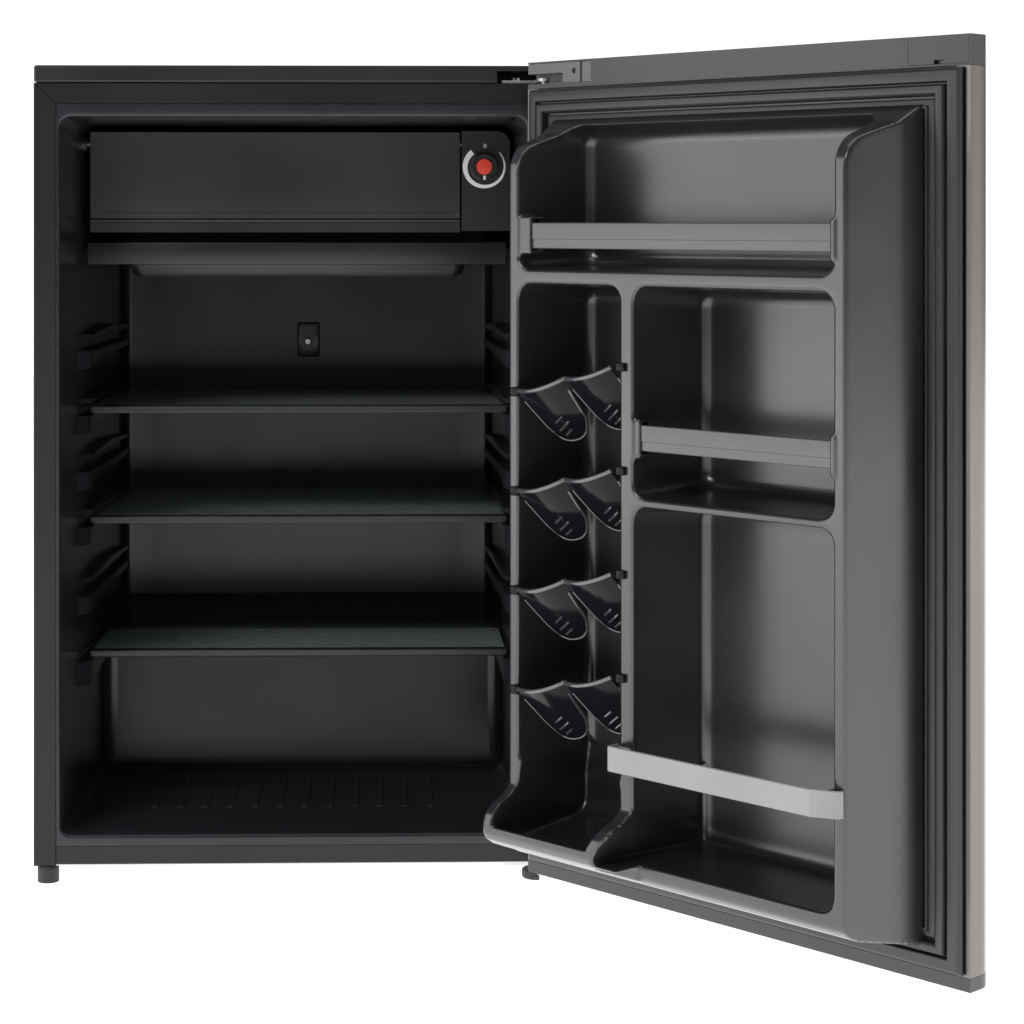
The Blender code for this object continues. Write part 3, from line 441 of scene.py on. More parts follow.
def melt(obj, voxel, passes, keep):
    """Round every edge and corner as a thermoformed sheet does, then thin the mesh out."""
    remesh = obj.modifiers.new("remesh", "REMESH")
    remesh.mode = "VOXEL"
    remesh.voxel_size = voxel
    smooth = obj.modifiers.new("smooth", "SMOOTH")
    smooth.factor = 0.5
    smooth.iterations = passes
    thin = obj.modifiers.new("thin", "DECIMATE")
    thin.ratio = keep
    return bake(obj)


# Door liner


def pocket(rect_front, rect_back, radius):
    """Cutter of one moulded pocket: drafted walls and a round foot all the way round its back."""
    depth = RIB_Y - POCKET_Y
    draft = [(f - b) / depth for f, b in zip(rect_front, rect_back)]

    def ring(y, shrink):
        rect = [b + d * (y - POCKET_Y) for b, d in zip(rect_back, draft)]
        size = inset(rect, shrink)
        corners = max(radius - shrink, 2.0)
        return [(u, y, v) for u, v in rounded_rect(size, corners, 6)]

    rings = []
    for i in range(6):
        angle = math.radians(90 * i / 5)
        away = POCKET_FOOT_R * (1 - math.sin(angle))
        rise = POCKET_FOOT_R * (1 - math.cos(angle))
        rings.append(ring(POCKET_Y + rise, away))
    rings.append(ring(RIB_Y + 60, 0.0))
    return solid(lambda bm: add_rings(bm, rings))


def side_wedge(side):
    """Cutter that gives the outer side of a rib its draft."""
    edge = PLATEAU[0] if side < 0 else PLATEAU[2]
    tip = 63.0 if side < 0 else CAB_W - 63.0
    far = edge + side * 60
    outline = [(edge, PLATEAU_Y), (tip, RIB_Y), (tip, 200), (far, 200), (far, PLATEAU_Y)]
    return solid(add_extrusion, outline, "z", -20, 850)


def make_door_liner():
    """Thermoformed lining of the door with its ribs, ledges, divider and can scoop."""
    x0, z0, x1, z1 = PLATEAU
    profile = [(POCKET_Y - 6, z0), (PLATEAU_Y, z0), (PLATEAU_Y + 3, 50), (62, 62), (71, 66)]
    profile += arc(RIB_Y - 10, 77, 10, -60, 0, 4)
    profile += arc(48, 717, 30, 0, 78, 8)
    profile += [(20, 757), (PLATEAU_Y, z1), (POCKET_Y - 6, z1)]
    body = solid(add_extrusion, profile, "x", x0, x1)
    combine(body, "DIFFERENCE", side_wedge(-1), side_wedge(1))
    flange = solid(add_block, (14.3, POCKET_Y - 6, 29.6), (CAB_W - 14.3, FLANGE_Y, 804.2))
    combine(body, "UNION", flange, scoop_body())
    top = pocket((75, LEDGE_1[1], 452, 786), (82, LEDGE_1[1] + 4, 446, 758), 15)
    middle = pocket((BAYS[0], LEDGE_2[1], BAYS[1], LEDGE_1[0]), (82, 423, 298, 606), 15)
    lower = pocket((BAYS[0], 84, BAYS[1], LEDGE_2[0]), (82, 90, 298, 405), 15)
    combine(body, "DIFFERENCE", top, middle, lower, column_cutter(), divider_curl())
    combine(body, "DIFFERENCE", *scoop_cutters())
    combine(body, "UNION", *rail_sockets())
    melt(body, 1.7, 5, 0.4)
    mesh = body.data
    bpy.data.objects.remove(body)
    mesh.transform(DOOR)
    return adopt(
        mesh, "door_liner_moulding", "door_liner", "door", ["door_liner"], 60.0
    )


def scoop_body():
    """The block that bulges forward at the foot of the can column."""
    side = [(60, 65), (84, 71), (102, 78), (111, 84), (115, 91), (115, 99), (112, 108), (102, 117)]
    side += [(88, 123), (79, 131), (74, 140), (60, 140)]
    block = solid(add_extrusion, side, "x", 296, CAB_W - 64)
    toe = [(290, 40), (333, 40), (328, 66), (324, 82), (290, 82)]
    return combine(block, "DIFFERENCE", solid(add_extrusion, toe, "y", 79, 160))


def divider_curl():
    """Cutter that bends the foot of the divider's front edge towards the scoop."""
    face = [(324, 84.5), (321, 91), (315, 101), (309, 112), (305, 122), (303.5, 134), (303.5, 165)]
    rings = []
    for y, share in ((POCKET_Y + 2, 0.0), (RIB_Y + 1, 1.0), (160, 1.0)):
        foot = 91 - 6.5 * share
        edge = [(298 + (x - 298) * share, y, max(z, foot)) for x, z in face]
        rings.append([(285, y, foot)] + edge + [(285, y, 165)])
    return solid(add_rings, rings)


def column_cutter():
    """Cutter of the can column above its scoop."""
    return pocket((COLUMN[0], 150, COLUMN[1], LEDGE_1[0]), (326, 150, 446, 606), 15)


def scoop_cutters():
    """Cutters of the trough inside the scoop: the floor, and the opening above the lip."""
    floor = [(POCKET_Y + 4, 170), (POCKET_Y, 160), (POCKET_Y, 112)]
    floor += arc(POCKET_Y + 22, 110, 22, 180, 250, 6)
    floor += [(30, 86), (84, 81), (98, 83), (106, 88), (109.5, 97), (150, 98), (150, 170)]
    face = [(326, 170), (321, 150), (320, 135), (321, 122), (325, 109), (331, 96), (338, 60)]
    face += [(COLUMN[1] - 4, 60), (COLUMN[1] - 1, 90), (COLUMN[1], 130), (446, 170)]
    trough = solid(add_extrusion, floor, "x", 300, 460)
    window = solid(add_extrusion, face, "y", POCKET_Y - 10, 170)
    return [combine(trough, "INTERSECT", window)]


def rail_sockets():
    """Raised frames on the pocket walls that the ends of the two short rails clip into."""
    sockets = []
    for x0, x1, z0, z1 in ((436, 454, 640, 676), (296, 306, 455, 491)):
        outer = solid(add_block, (x0, 57, z0), (x1, 76.5, z1))
        inner = solid(add_block, (x0 - 5, 61, z0 + 4), (x1 - 3, 73, z1 - 4))
        sockets.append(combine(outer, "DIFFERENCE", inner))
    for z0, z1 in ((638, 674), (455, 490)):
        sockets.append(solid(add_block, (74, 66, z0), (79.5, 79.2, z1)))
    return sockets


# Door seal

SEAL_OUTER = (6.0, 30.5, 521.0, 803.0)
SEAL_PROFILE = (
    (0.0, -10.2), (0.0, -8.4), (1.6, -7.6), (2.6, -4.6), (4.0, -3.9), (11.6, -3.4), (12.6, -4.4),
    (13.2, -8.2), (14.2, -8.4), (14.9, -3.4), (16.2, -1.3), (18.6, -0.5), (21.6, -0.7),
    (23.2, -1.9), (23.9, -4.6), (24.6, -9.0), (26.2, -9.2), (27.0, -7.0), (28.4, -6.3),
    (32.0, -5.9), (33.0, -3.9), (34.4, -3.6), (35.2, -4.8), (35.2, -10.2),
)


def make_seal():
    """Magnetic seal: one folded profile mitred round the four corners."""
    bm = bmesh.new()
    u0, v0, u1, v1 = SEAL_OUTER
    loops = []
    for across, y in SEAL_PROFILE:
        a, b, c, d = inset((u0, v0, u1, v1), across)
        loops.append([(a, y, b), (c, y, b), (c, y, d), (a, y, d)])
    add_rings(bm, loops, closed=True)
    return place(bm, "door_seal", "seal", "door", "rubber", ["door_gasket"], DOOR, 30.0)


# Rails and racks

RAIL_T = 3.0
RAIL_STEP = 0.36
BOTTLE_RAIL_Z = (168.6, 192.2)
BOTTLE_RAIL_T = 2.6
RACK_WIDTH = 134.0
RACK_RISE = 31.0
RACK_T = 2.0
RACK_LOBES = (32.5, 97.5)
RACK_HALF = 29.5
RACK_SAG = 6.0
RACK_RIDGES = ((38, 6.5), (47, 9.0), (55, 6.0))
RACK_RIDGE_DROP = 2.3
LOBE_STEPS = 16
TONGUE_STEPS = 10


def rail_profile(face, z0, z1):
    """Cross-section of a rail in Y and Z: a face with a step line and rolled edges."""
    back = face - RAIL_T
    step = z0 + (z1 - z0) * RAIL_STEP
    points = [(back, z0 + 1), (back, z1 - 1)] + arc(back + 1, z1 - 1, 1, 180, 90, 2)
    points += arc(face - 1.2, z1 - 1.2, 1.2, 90, 0, 3)
    points += [(face, step + 0.5), (face - 0.7, step), (face - 0.7, z0 + 1.2)]
    points += arc(face - 1.9, z0 + 1.2, 1.2, 0, -90, 3) + [(back + 1, z0)]
    return points


def make_short_rail(name, node, x0, x1, z0, z1):
    """A rail between two pocket walls, with the tongues that clip into the wall sockets."""
    bm = bmesh.new()
    add_extrusion(bm, rail_profile(RIB_Y - 3.5, z0, z1), "x", x0, x1)
    for start, end in ((x0, x0 + 2.6), (x1 - 2.6, x1)):
        add_soft_block(bm, (start, RIB_Y - 17, z0 + 1), (end, RIB_Y - 5, z1 - 1), 0.8)
    rib_z = (z0 + z1) / 2
    add_soft_block(bm, (x0 + 2, RIB_Y - 10, rib_z - 1), (x1 - 2, RIB_Y - 6, rib_z + 1), 0.5)
    return place(bm, name, "rail", "door", "grey_plastic", [node], DOOR)


def make_bottle_rail():
    """Tall rail in front of the lowest pocket, hooked over the rib and the divider."""
    bm = bmesh.new()
    path = [(64.4, 78.6), (64.6, 82), (66.2, 84.8)]
    path += arc(91, 82.5, 12.3, 116, 90, 4) + [(200, 94.8), (319.2, 94.8)]
    path += [(320.6, 93.6), (320.8, 81)]
    z0, z1 = BOTTLE_RAIL_Z
    thick = BOTTLE_RAIL_T
    rings = []
    for i, (x, y) in enumerate(path):
        before = Vector(path[max(i - 1, 0)])
        after = Vector(path[min(i + 1, len(path) - 1)])
        along = (after - before).normalized()
        out = Vector((-along.y, along.x))
        section = [(0.0, z0 + 0.8), (0.0, z1 - 0.8), (-0.8, z1), (-thick + 0.8, z1)]
        section += [(-thick, z1 - 0.8), (-thick, z0 + 0.8), (-thick + 0.8, z0), (-0.8, z0)]
        rings.append([(x + out.x * w, y + out.y * w, z) for w, z in section])
    add_rings(bm, rings)
    add_soft_block(bm, (304, 79.2, 171), (320.6, 82, 190), 0.6)
    add_soft_block(bm, (77.9, 64, 170), (80.4, 88, 191), 0.6)
    # Its paler rail material is a painted reflection, not a different plastic.
    return place(
        bm, "bottle_rail_moulding", "bottle_rail", "door", "grey_plastic", ["bottle_rail"], DOOR
    )


def rack_point(axes, s, reach, height):
    """The point s along a rack's front, reach into the door, and height over its plane."""
    corner, across, inward, up = axes
    return corner + across * s + inward * reach + up * height


def rack_axes(number):
    """A rack's left front corner, and its directions along, into the door and up."""
    across = Vector((-RACK_WIDTH, 0.0, RACK_RISE)).normalized()
    inward = Vector((-0.16, -0.66, -0.73)).normalized()
    up = inward.cross(across).normalized()
    if up.z < 0:
        up = -up
    corner = Vector((451.2, 81.0, RACK_Z - RACK_PITCH * (number - 1)))
    return corner, across, inward, up


def rack_columns():
    """Stations along a rack: place, height and length of its two hollow round-ended tongues."""
    columns = []
    for middle in RACK_LOBES:
        for i in range(LOBE_STEPS + 1):
            q = -1 + 2 * i / LOBE_STEPS
            sag = RACK_SAG * (1 - q * q)
            reach = 12 + 54 * (1 - abs(q) ** 2.6) ** 0.385
            columns.append((middle + q * RACK_HALF, -sag, reach))
        if middle == RACK_LOBES[0]:
            columns += [(63.2, 0.8, 12.0), (65.0, 1.6, 12.0), (66.8, 0.8, 12.0)]
    return columns


def add_rack_shell(bm, axes, columns):
    """The tongues of a rack as one closed sheet."""
    up = axes[3]
    top, under = [], []
    for s, height, reach in columns:
        top_row, under_row = [], []
        for t in range(TONGUE_STEPS + 1):
            point = rack_point(axes, s, reach * (t / TONGUE_STEPS), height)
            top_row.append(bm.verts.new(point))
            under_row.append(bm.verts.new(point - up * RACK_T))
        top.append(top_row)
        under.append(under_row)
    for i in range(len(columns) - 1):
        for t in range(TONGUE_STEPS):
            bm.faces.new((top[i][t], top[i][t + 1], top[i + 1][t + 1], top[i + 1][t]))
            bm.faces.new((under[i][t], under[i + 1][t], under[i + 1][t + 1], under[i][t + 1]))
        bm.faces.new((top[i][0], top[i + 1][0], under[i + 1][0], under[i][0]))
        bm.faces.new((top[i][-1], under[i][-1], under[i + 1][-1], top[i + 1][-1]))
    for i in (0, -1):
        for t in range(TONGUE_STEPS):
            bm.faces.new((top[i][t], under[i][t], under[i][t + 1], top[i][t + 1]))


def make_can_rack(number):
    """Double can cradle: rolled front rims, tongues that slope into the door, and their ridges."""
    axes = rack_axes(number)
    columns = rack_columns()
    bm = bmesh.new()
    add_rack_shell(bm, axes, columns)
    rims = bmesh.new()
    add_rack_rims(rims, axes, columns)
    for middle in RACK_LOBES:
        for reach, wide in RACK_RIDGES:
            add_rack_ridge(rims, axes, middle, reach, wide)
    # Rims and ridges wear the paler rack copy as a painted highlight.
    place(rims, f"can_rack_{number}_rims", "rack_rim_painted_highlight", "door", "clear_black", (), DOOR)
    left_z = axes[0].z
    right_z = left_z + RACK_RISE
    add_soft_block(bm, (448.5, 78.6, left_z - 5), (459, 82.6, left_z + 4), 1.6)
    add_soft_block(bm, (312, 78.6, right_z - 6), (322, 81.6, right_z + 2), 1.2)
    return place(
        bm, f"can_rack_{number}_moulding", "rack", "door", "clear_black", [f"can_rack_{number}"], DOOR
    )


def add_rack_rims(bm, axes, columns):
    """The rounded rim along the front of a rack and down the sides of its tongues."""
    add_rod(bm, [rack_point(axes, s, 0.0, h) for s, h, _ in columns], 2.3, 10)
    half = len(columns) // 2
    for part in (columns[: half - 1], columns[half + 2 :]):
        add_rod(bm, [rack_point(axes, s, r, h - 1) for s, h, r in part], 1.5)


def add_rack_ridge(bm, axes, middle, reach, wide):
    """A short slanting ridge on the underside of a tongue that follows its hollow."""
    points = []
    for i in range(9):
        s = -wide + 2 * wide * i / 8
        height = -RACK_SAG * (1 - (s / RACK_HALF) ** 2) - RACK_RIDGE_DROP
        points.append(rack_point(axes, middle + s, reach - 0.45 * s, height))
    add_rod(bm, points, 1.3)


def add_rod(bm, points, radius, sides=8):
    """Add a round bar through points."""
    rings = []
    for i, point in enumerate(points):
        before = points[max(i - 1, 0)]
        after = points[min(i + 1, len(points) - 1)]
        along = (Vector(after) - Vector(before)).normalized()
        side = along.cross(Vector((0.13, 0.97, 0.2))).normalized()
        other = along.cross(side)
        angles = [2 * math.pi * k / sides for k in range(sides)]
        circle = [(side * math.cos(a) + other * math.sin(a)) * radius for a in angles]
        rings.append([Vector(point) + offset for offset in circle])
    return add_rings(bm, rings)


# Cabinet interior

MOUTH_R = 11.0
BACK_R = 14.0
FLANGE_EDGE = (22.9, 36.9, CAB_W - 22.9, 790.3)
ROLL_R = 3.4
COVE_R = 12.0
LINER_T = 1.8
HUMP_RISE = 12.0
SHELF_UNDER = 4.3
SHELF_OVER = 6.7
RIDGE_DEPTH = 11.0
RIDGE_ROUND = 3.0
TRAY_RIDGE_Z = 642.2
TRAY_RIM_Z = 642.5
FLOOR_RIBS = 12
FLOOR_RIB_X = 112
FLOOR_RIB_PITCH = 26.5
FLAP_AXIS = (141.0, 754.3)


def at_depth(front, back, y):
    """A size of the tapered liner at depth y."""
    return front + (back - front) * y / BACK_Y


def liner_rect(y):
    """The liner's cavity at depth y, as a rectangle."""
    return [at_depth(front, back, y) for front, back in zip(MOUTH, BACK)]


def wall_x(side, y):
    """The left (side -1) or right (side 1) wall at depth y."""
    return liner_rect(y)[0 if side < 0 else 2]


def liner_ring(y, grow=0.0, radius=None):
    """The liner's outline at depth y, moved out by grow."""
    rect = inset(liner_rect(y), -grow)
    corner = at_depth(MOUTH_R, BACK_R, y) if radius is None else radius
    return [(u, y, v) for u, v in rounded_rect(rect, corner + max(grow, 0), 8)]


def inner_skin():
    """Rings of the liner's inner skin, from its rolled mouth to its back wall."""
    rings = []
    for i in range(6):
        angle = math.radians(90 * i / 5)
        depth = 0.1 + ROLL_R * (1 - math.cos(angle))
        mouth = liner_ring(0, ROLL_R * (1 - math.sin(angle)))
        rings.append([(u, depth, v) for u, _, v in mouth])
    cove_y = BACK_Y - COVE_R
    rings += [liner_ring(60), liner_ring(220), liner_ring(cove_y)]
    for i in range(1, 6):
        angle = math.radians(90 * i / 5)
        away = COVE_R * (1 - math.cos(angle))
        ring = liner_ring(cove_y, -away, 15.0 - away * 0.8)
        rings.append([(u, cove_y + COVE_R * math.sin(angle), v) for u, _, v in ring])
    rings.append([(u, BACK_Y, v) for u, _, v in liner_ring(cove_y, -40, 6.0)])
    return rings


def outer_skin(back):
    """Rings of the liner's outer skin, from behind its back wall to its flange."""
    outer = [[(u, BACK_Y + LINER_T, v) for u, _, v in back]]
    outer.append([(u, BACK_Y + LINER_T, v) for u, _, v in liner_ring(BACK_Y, -2)])
    outer += [liner_ring(y, LINER_T) for y in (BACK_Y - 3, 220, 6)]
    outer.append([(u, 1.6, v) for u, _, v in liner_ring(6, LINER_T)])
    return outer


def make_cabinet_liner():
    """Inner box of the cabinet: rolled mouth, drafted walls, hump, shelf ridges and floor ribs."""
    bm = bmesh.new()
    flange = [(u, 0.1, v) for u, v in rounded_rect(FLANGE_EDGE, 1.0, 8)]
    flange_back = [(u, 1.6, v) for u, v in rounded_rect(FLANGE_EDGE, 1.0, 8)]
    inner = inner_skin()
    add_rings(bm, [flange] + inner)
    add_rings(bm, [flange, flange_back] + outer_skin(inner[-1])[::-1])
    bmesh.ops.remove_doubles(bm, verts=bm.verts, dist=0.001)
    drop_inner_caps(bm)
    add_hump(bm)
    add_hump_coves(bm)
    for side in (-1, 1):
        add_wall_ridges(bm, side)
    add_floor_ribs(bm)
    return place(
        bm, "cabinet_liner_moulding", "liner", "cabinet", "black_plastic", ["cabinet_liner"]
    )


def drop_inner_caps(bm):
    """Remove the flat caps that the two halves of the liner meet at, leaving its two skins."""
    caps = [face for face in bm.faces if len(face.verts) > 4]
    front = [face for face in caps if face.calc_center_median().y < 10]
    bmesh.ops.delete(bm, geom=front, context="FACES_ONLY")


def add_hump(bm):
    """The step over the compressor, with round edges at its top and its foot."""
    slope = math.atan2(HUMP_RISE, BACK_Y - HUMP_Y)
    top = HUMP_Z
    outline = [(HUMP_Y - 9, 48), (HUMP_Y - 9, 52.6)]
    outline += arc(HUMP_Y - 9, 62, 9, -90, 0, 5)[1:]
    outline += arc(HUMP_Y + 11, top - 10, 10, 180, 90 + math.degrees(slope), 6)
    outline += [(BACK_Y + 1, top + 12.2), (BACK_Y + 1, 48)]
    return add_extrusion(bm, outline, "x", 33, CAB_W - 33)


def add_hump_coves(bm):
    """Hollow fillets between the step's face and the two side walls."""
    radius = 15.0
    for side in (-1, 1):
        wall = wall_x(side, HUMP_Y)
        centre = (wall - side * radius, HUMP_Y - radius + 0.4)
        turn = arc(0, 0, radius, 90, 0, 6)
        curve = [(centre[0] + side * x, centre[1] + y) for x, y in turn]
        outline = [(wall + side * 2, HUMP_Y + 3)] + curve
        add_extrusion(bm, outline, "z", 50, HUMP_Z - 6)


def add_wall_ridges(bm, side):
    """Pairs of round-edged ridges that the shelves slide between."""
    for level in SHELF_LEVELS:
        low = level - SHELF_UNDER
        high = level + SHELF_OVER
        lower = [(104, low - 20), (150, low - 15), (400, low - 7), (400, low), (104, low)]
        upper = [(126, high), (400, high), (400, high + 5), (260, high + 12), (126, high + 6)]
        add_ridge(bm, side, lower, RIDGE_DEPTH)
        add_ridge(bm, side, upper, RIDGE_DEPTH)
    low = CRISPER_Z - SHELF_UNDER
    add_ridge(bm, side, [(112, low - 26), (290, low - 8), (290, low), (112, low)], RIDGE_DEPTH)
    low = TRAY_RIDGE_Z
    add_ridge(bm, side, [(150, low - 9), (426, low - 9), (426, low), (150, low)], 17.0)
    if side < 0:
        boss = [(8, 30), (8, 36), (7.2, 36.8), (3.6, 36.8)]
        add_turned(bm, boss, "x", FLAP_AXIS, 24)


def add_ridge(bm, side, outline, depth):
    """One ridge on a side wall; its sides lean in towards its crest."""
    middle = Vector((sum(y for y, _ in outline), sum(z for _, z in outline))) / len(outline)
    rings = []
    steps = (
        (-1.0, -0.5, 0.0),
        (depth - RIDGE_ROUND, 0.6, 16.0),
        (depth - 0.9, 1.4, 21.0),
        (depth, 2.8, 27.0),
    )
    for out, shrink, lean in steps:
        ring = []
        for y, z in outline:
            away = Vector((y, z)) - middle
            y2 = y + lean if away.x < 0 else y - shrink
            z2 = z - math.copysign(min(shrink * 0.8, abs(away.y) * 0.9), away.y)
            ring.append((wall_x(side, y2) - side * out, y2, z2))
        rings.append(ring)
    return add_rings(bm, rings)


def add_floor_ribs(bm):
    """Low ribs across the floor of the crisper space that let air pass."""
    for i in range(FLOOR_RIBS):
        x = FLOOR_RIB_X + FLOOR_RIB_PITCH * i
        section = [(x - 5, -2), (x - 3.4, 1.5), (x + 3.4, 1.5), (x + 5, -2)]
        rings = []
        for y in (104, 108, 236, 240):
            drop = 3.2 if y in (104, 240) else 0.0
            floor = liner_rect(y)[1]
            rings.append([(u, y, floor + max(v - drop, -2.4)) for u, v in section])
        add_rings(bm, rings)


def make_flap():
    """Freezer flap with a thin raised border and finger lip along its foot."""
    bm = bmesh.new()
    x0, z0, x1, z1 = 40.3, 671.0, 436.7, 767.6
    front = arc(138.4, z1 - 1.2, 1.2, 180, 90, 3)[::-1] + [(137.2, z0 + 11), (136.9, z0 + 9.6)]
    front += [(138.6, z0 + 8.8), (138.2, z0 + 3.4), (134.6, z0 + 2.0), (134.2, z0 + 0.8)]
    front += [(134.8, z0), (141.5, z0), (141.5, z1)]
    add_extrusion(bm, front, "x", x0, x1)
    for low, high in (((x0, z0), (x0 + 5, z1)), ((x1 - 5, z0), (x1, z1)), ((x0, z1 - 22), (x1, z1))):
        add_soft_block(bm, (low[0], 138.5, low[1]), (high[0], 144.8, high[1]), 1.0)
    add_soft_block(bm, (x0 + 120, 138.5, z0), (x1 - 120, 144.8, z0 + 5), 1.0)
    for start, end in ((33.8, x0 + 4), (x1 - 4, x1 + 6.4)):
        add_turned(bm, [(2.4, start), (3, start + 0.6), (3, end)], "x", FLAP_AXIS, 20)
    return place(
        bm, "freezer_flap_moulding", "flap", "freezer_flap", "black_plastic", ["freezer_flap"]
    )


def make_tray():
    """Drip tray: rolled front panel, flat rim, and a pan with sloping walls."""
    bm = bmesh.new()
    add_soft_block(bm, (37.8, 130, 625), (486.7, 133.4, 649), 1.4)
    add_soft_block(bm, (38.4, 132.6, 646.2), (486.1, 138, 648.8), 1.2)
    rim_z = TRAY_RIM_Z
    outer = rounded_rect((44.5, 133, 480.5, 428), 3, 4)
    mouth = rounded_rect((71, 139, 447, 420), 10, 4)
    foot = rounded_rect((84, 149, 440, 410), 12, 4)
    rings = [[(u, v, rim_z) for u, v in outer], [(u, v, rim_z + 2.5) for u, v in outer]]
    lip = rounded_rect((73, 141, 445, 418), 9, 4)
    rings.append([(u, v, rim_z + 2.5) for u, v in lip])
    rings.append([(u, v, 617) for u, v in rounded_rect((85, 148, 439, 409), 10, 4)])
    rings.append([(u, v, 614) for u, v in rounded_rect((90, 152, 434, 404), 7, 4)])
    rings.append([(u, v, 612) for u, v in rounded_rect((90, 152, 434, 404), 7, 4)])
    rings.append([(u, v, 614.5) for u, v in foot])
    rings.append([(u, v, rim_z) for u, v in mouth])
    add_rings(bm, rings, closed=True)
    floor = rounded_rect((89, 151, 435, 405), 7, 4)
    add_rings(bm, [[(u, v, z) for u, v in floor] for z in (612.1, 613.9)])
    return place(bm, "drip_tray_moulding", "trim", "drip_tray", "black_plastic", ["drip_tray"])


def make_knob():
    """Thermostat knob with its grip flutes, cap and pointer, and the printed scale behind it."""
    x, z = KNOB
    bm = bmesh.new()
    front = PANEL_Y - 12.0
    sides = 48
    rings = []
    for radius, y in ((9.2, front + 0.9), (9.4, front), (13.6, front), (14.5, front + 1.2),
                      (15.4, PANEL_Y - 2.0), (15.5, PANEL_Y - 0.6), (9.2, PANEL_Y - 0.6)):
        ring = []
        for i in range(sides):
            angle = 2 * math.pi * i / sides
            flute = 0.35 if (i % 2 and 14.0 < radius) else 0.0
            r = radius - flute
            ring.append((x + r * math.cos(angle), y, z + r * math.sin(angle)))
        rings.append(ring)
    add_rings(bm, rings, closed=True)
    add_turned(bm, [(9.4, front + 1.0), (9.4, PANEL_Y - 4)], "y", (x, z), 32)
    place(bm, "knob_moulding", "knob", "knob", "black_plastic", ["thermostat_knob"])
    bm = bmesh.new()
    add_turned(bm, [(6.0, front - 1.0), (8.0, front - 0.8), (8.6, front), (8.6, front + 0.9)],
               "y", (x, z), 40)
    place(bm, "knob_cap_button", "cap", "knob", "red", ["knob_cap"])
    bm = bmesh.new()
    add_soft_block(bm, (x - 1.3, front - 0.25, z - 14.0), (x + 1.3, front + 0.3, z - 9.4), 0.2, 1)
    place(bm, "knob_pointer", "print", "knob", "white")
    bm = bmesh.new()
    add_scale(bm, x, z)
    add_zero(bm, x + 0.9, z + 22.5)
    place(bm, "thermostat_scale", "print", "cabinet", "white")


def add_scale(bm, x, z):
    """Printed crescent round the knob, thick at its cold end and fine at its warm end."""
    outer = arc(x, z, 23.0, 128, 405, 48)
    inner = []
    for i in range(49):
        t = i / 48
        thickness = 5.0 * (1 - t) ** 0.8 + 0.9
        angle = math.radians(128 + 277 * t)
        reach = 23.0 - thickness
        inner.append((x + reach * math.cos(angle), z + reach * math.sin(angle)))
    for i in range(48):
        quad = [outer[i], outer[i + 1], inner[i + 1], inner[i]]
        add_extrusion(bm, quad, "y", PANEL_Y - 0.15, PANEL_Y + 0.1)
    bmesh.ops.remove_doubles(bm, verts=bm.verts, dist=0.001)


def add_zero(bm, x, z):
    """The dial's off mark."""
    sides = 20
    rings = []
    for rx, rz, y in ((1.0, 1.5, 0.1), (1.0, 1.5, -0.15), (1.6, 2.2, -0.15), (1.6, 2.2, 0.1)):
        angles = [2 * math.pi * i / sides for i in range(sides)]
        rings.append([(x + rx * math.cos(a), PANEL_Y + y, z + rz * math.sin(a)) for a in angles])
    add_rings(bm, rings, closed=True)


def make_front_frame():
    """Painted strips of the cabinet's front flange, mitred at the two top corners."""
    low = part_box("outer_shell")[0].z / MM
    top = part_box("outer_shell")[1].z / MM
    flange = 22.5
    inner_top = 791.0
    seam = 0.7
    left = [(0.4, low), (flange, low), (flange, inner_top - seam), (0.4, top - 0.4 - seam)]
    right = [(CAB_W - u, v) for u, v in left]
    upper = [(0.4 + seam, top - 0.4), (CAB_W - 0.4 - seam, top - 0.4)]
    upper += [(CAB_W - flange - seam, inner_top), (flange + seam, inner_top)]
    bm = bmesh.new()
    for outline in (left, right, upper):
        strip = bmesh.new()
        add_extrusion(strip, outline, "y", -0.5, 0.2)
        bmesh.ops.bevel(strip, geom=strip.edges[:], offset=0.35, segments=2, affect="EDGES")
        add_mesh(bm, strip)
    return place(bm, "front_frame_strips", "shell", "cabinet", "black_steel")


def make_insert_screw():
    """Cross-head screw in the insert over the top hinge; it is zinc steel, coloured in the black trim
    plastic as painted shade of its recess.
    """
    bm = bmesh.new()
    centre = (463.0, 820.3)
    add_turned(bm, [(2.5, -14.6), (2.7, -14.0), (2.2, -13.4), (0.9, -13.2)], "y", centre, 20)
    # The black trim colour is painted shade of the recess; the screw itself is zinc steel.
    return place(bm, "hinge_insert_screw", "trim", "door", "zinc_steel", (), DOOR)


def make_sensor_cover():
    """Vented cover of the temperature sensor, with the well of its screw."""
    body = solid(add_soft_block, (250.8, 436.2, 508.8), (277.6, 440.6, 550.0), 1.8)
    slots = [
        solid(add_block, (255 + 5 * i, 425, 536), (257.4 + 5 * i, 438, 546)) for i in range(4)
    ]
    well = solid(add_turned, [(4.6, 425), (4.6, 437.6)], "y", (263.7, 527.6), 24)
    hole = solid(add_turned, [(2.2, 425), (2.2, 445)], "y", (263.7, 527.6), 16)
    combine(body, "DIFFERENCE", *slots, well, hole)
    mesh = body.data
    bpy.data.objects.remove(body)
    mesh.transform(CABINET)
    return adopt(
        mesh, "sensor_cover_moulding", "liner", "cabinet", ["sensor_cover"]
    )


# Finishes of the frame's own nodes

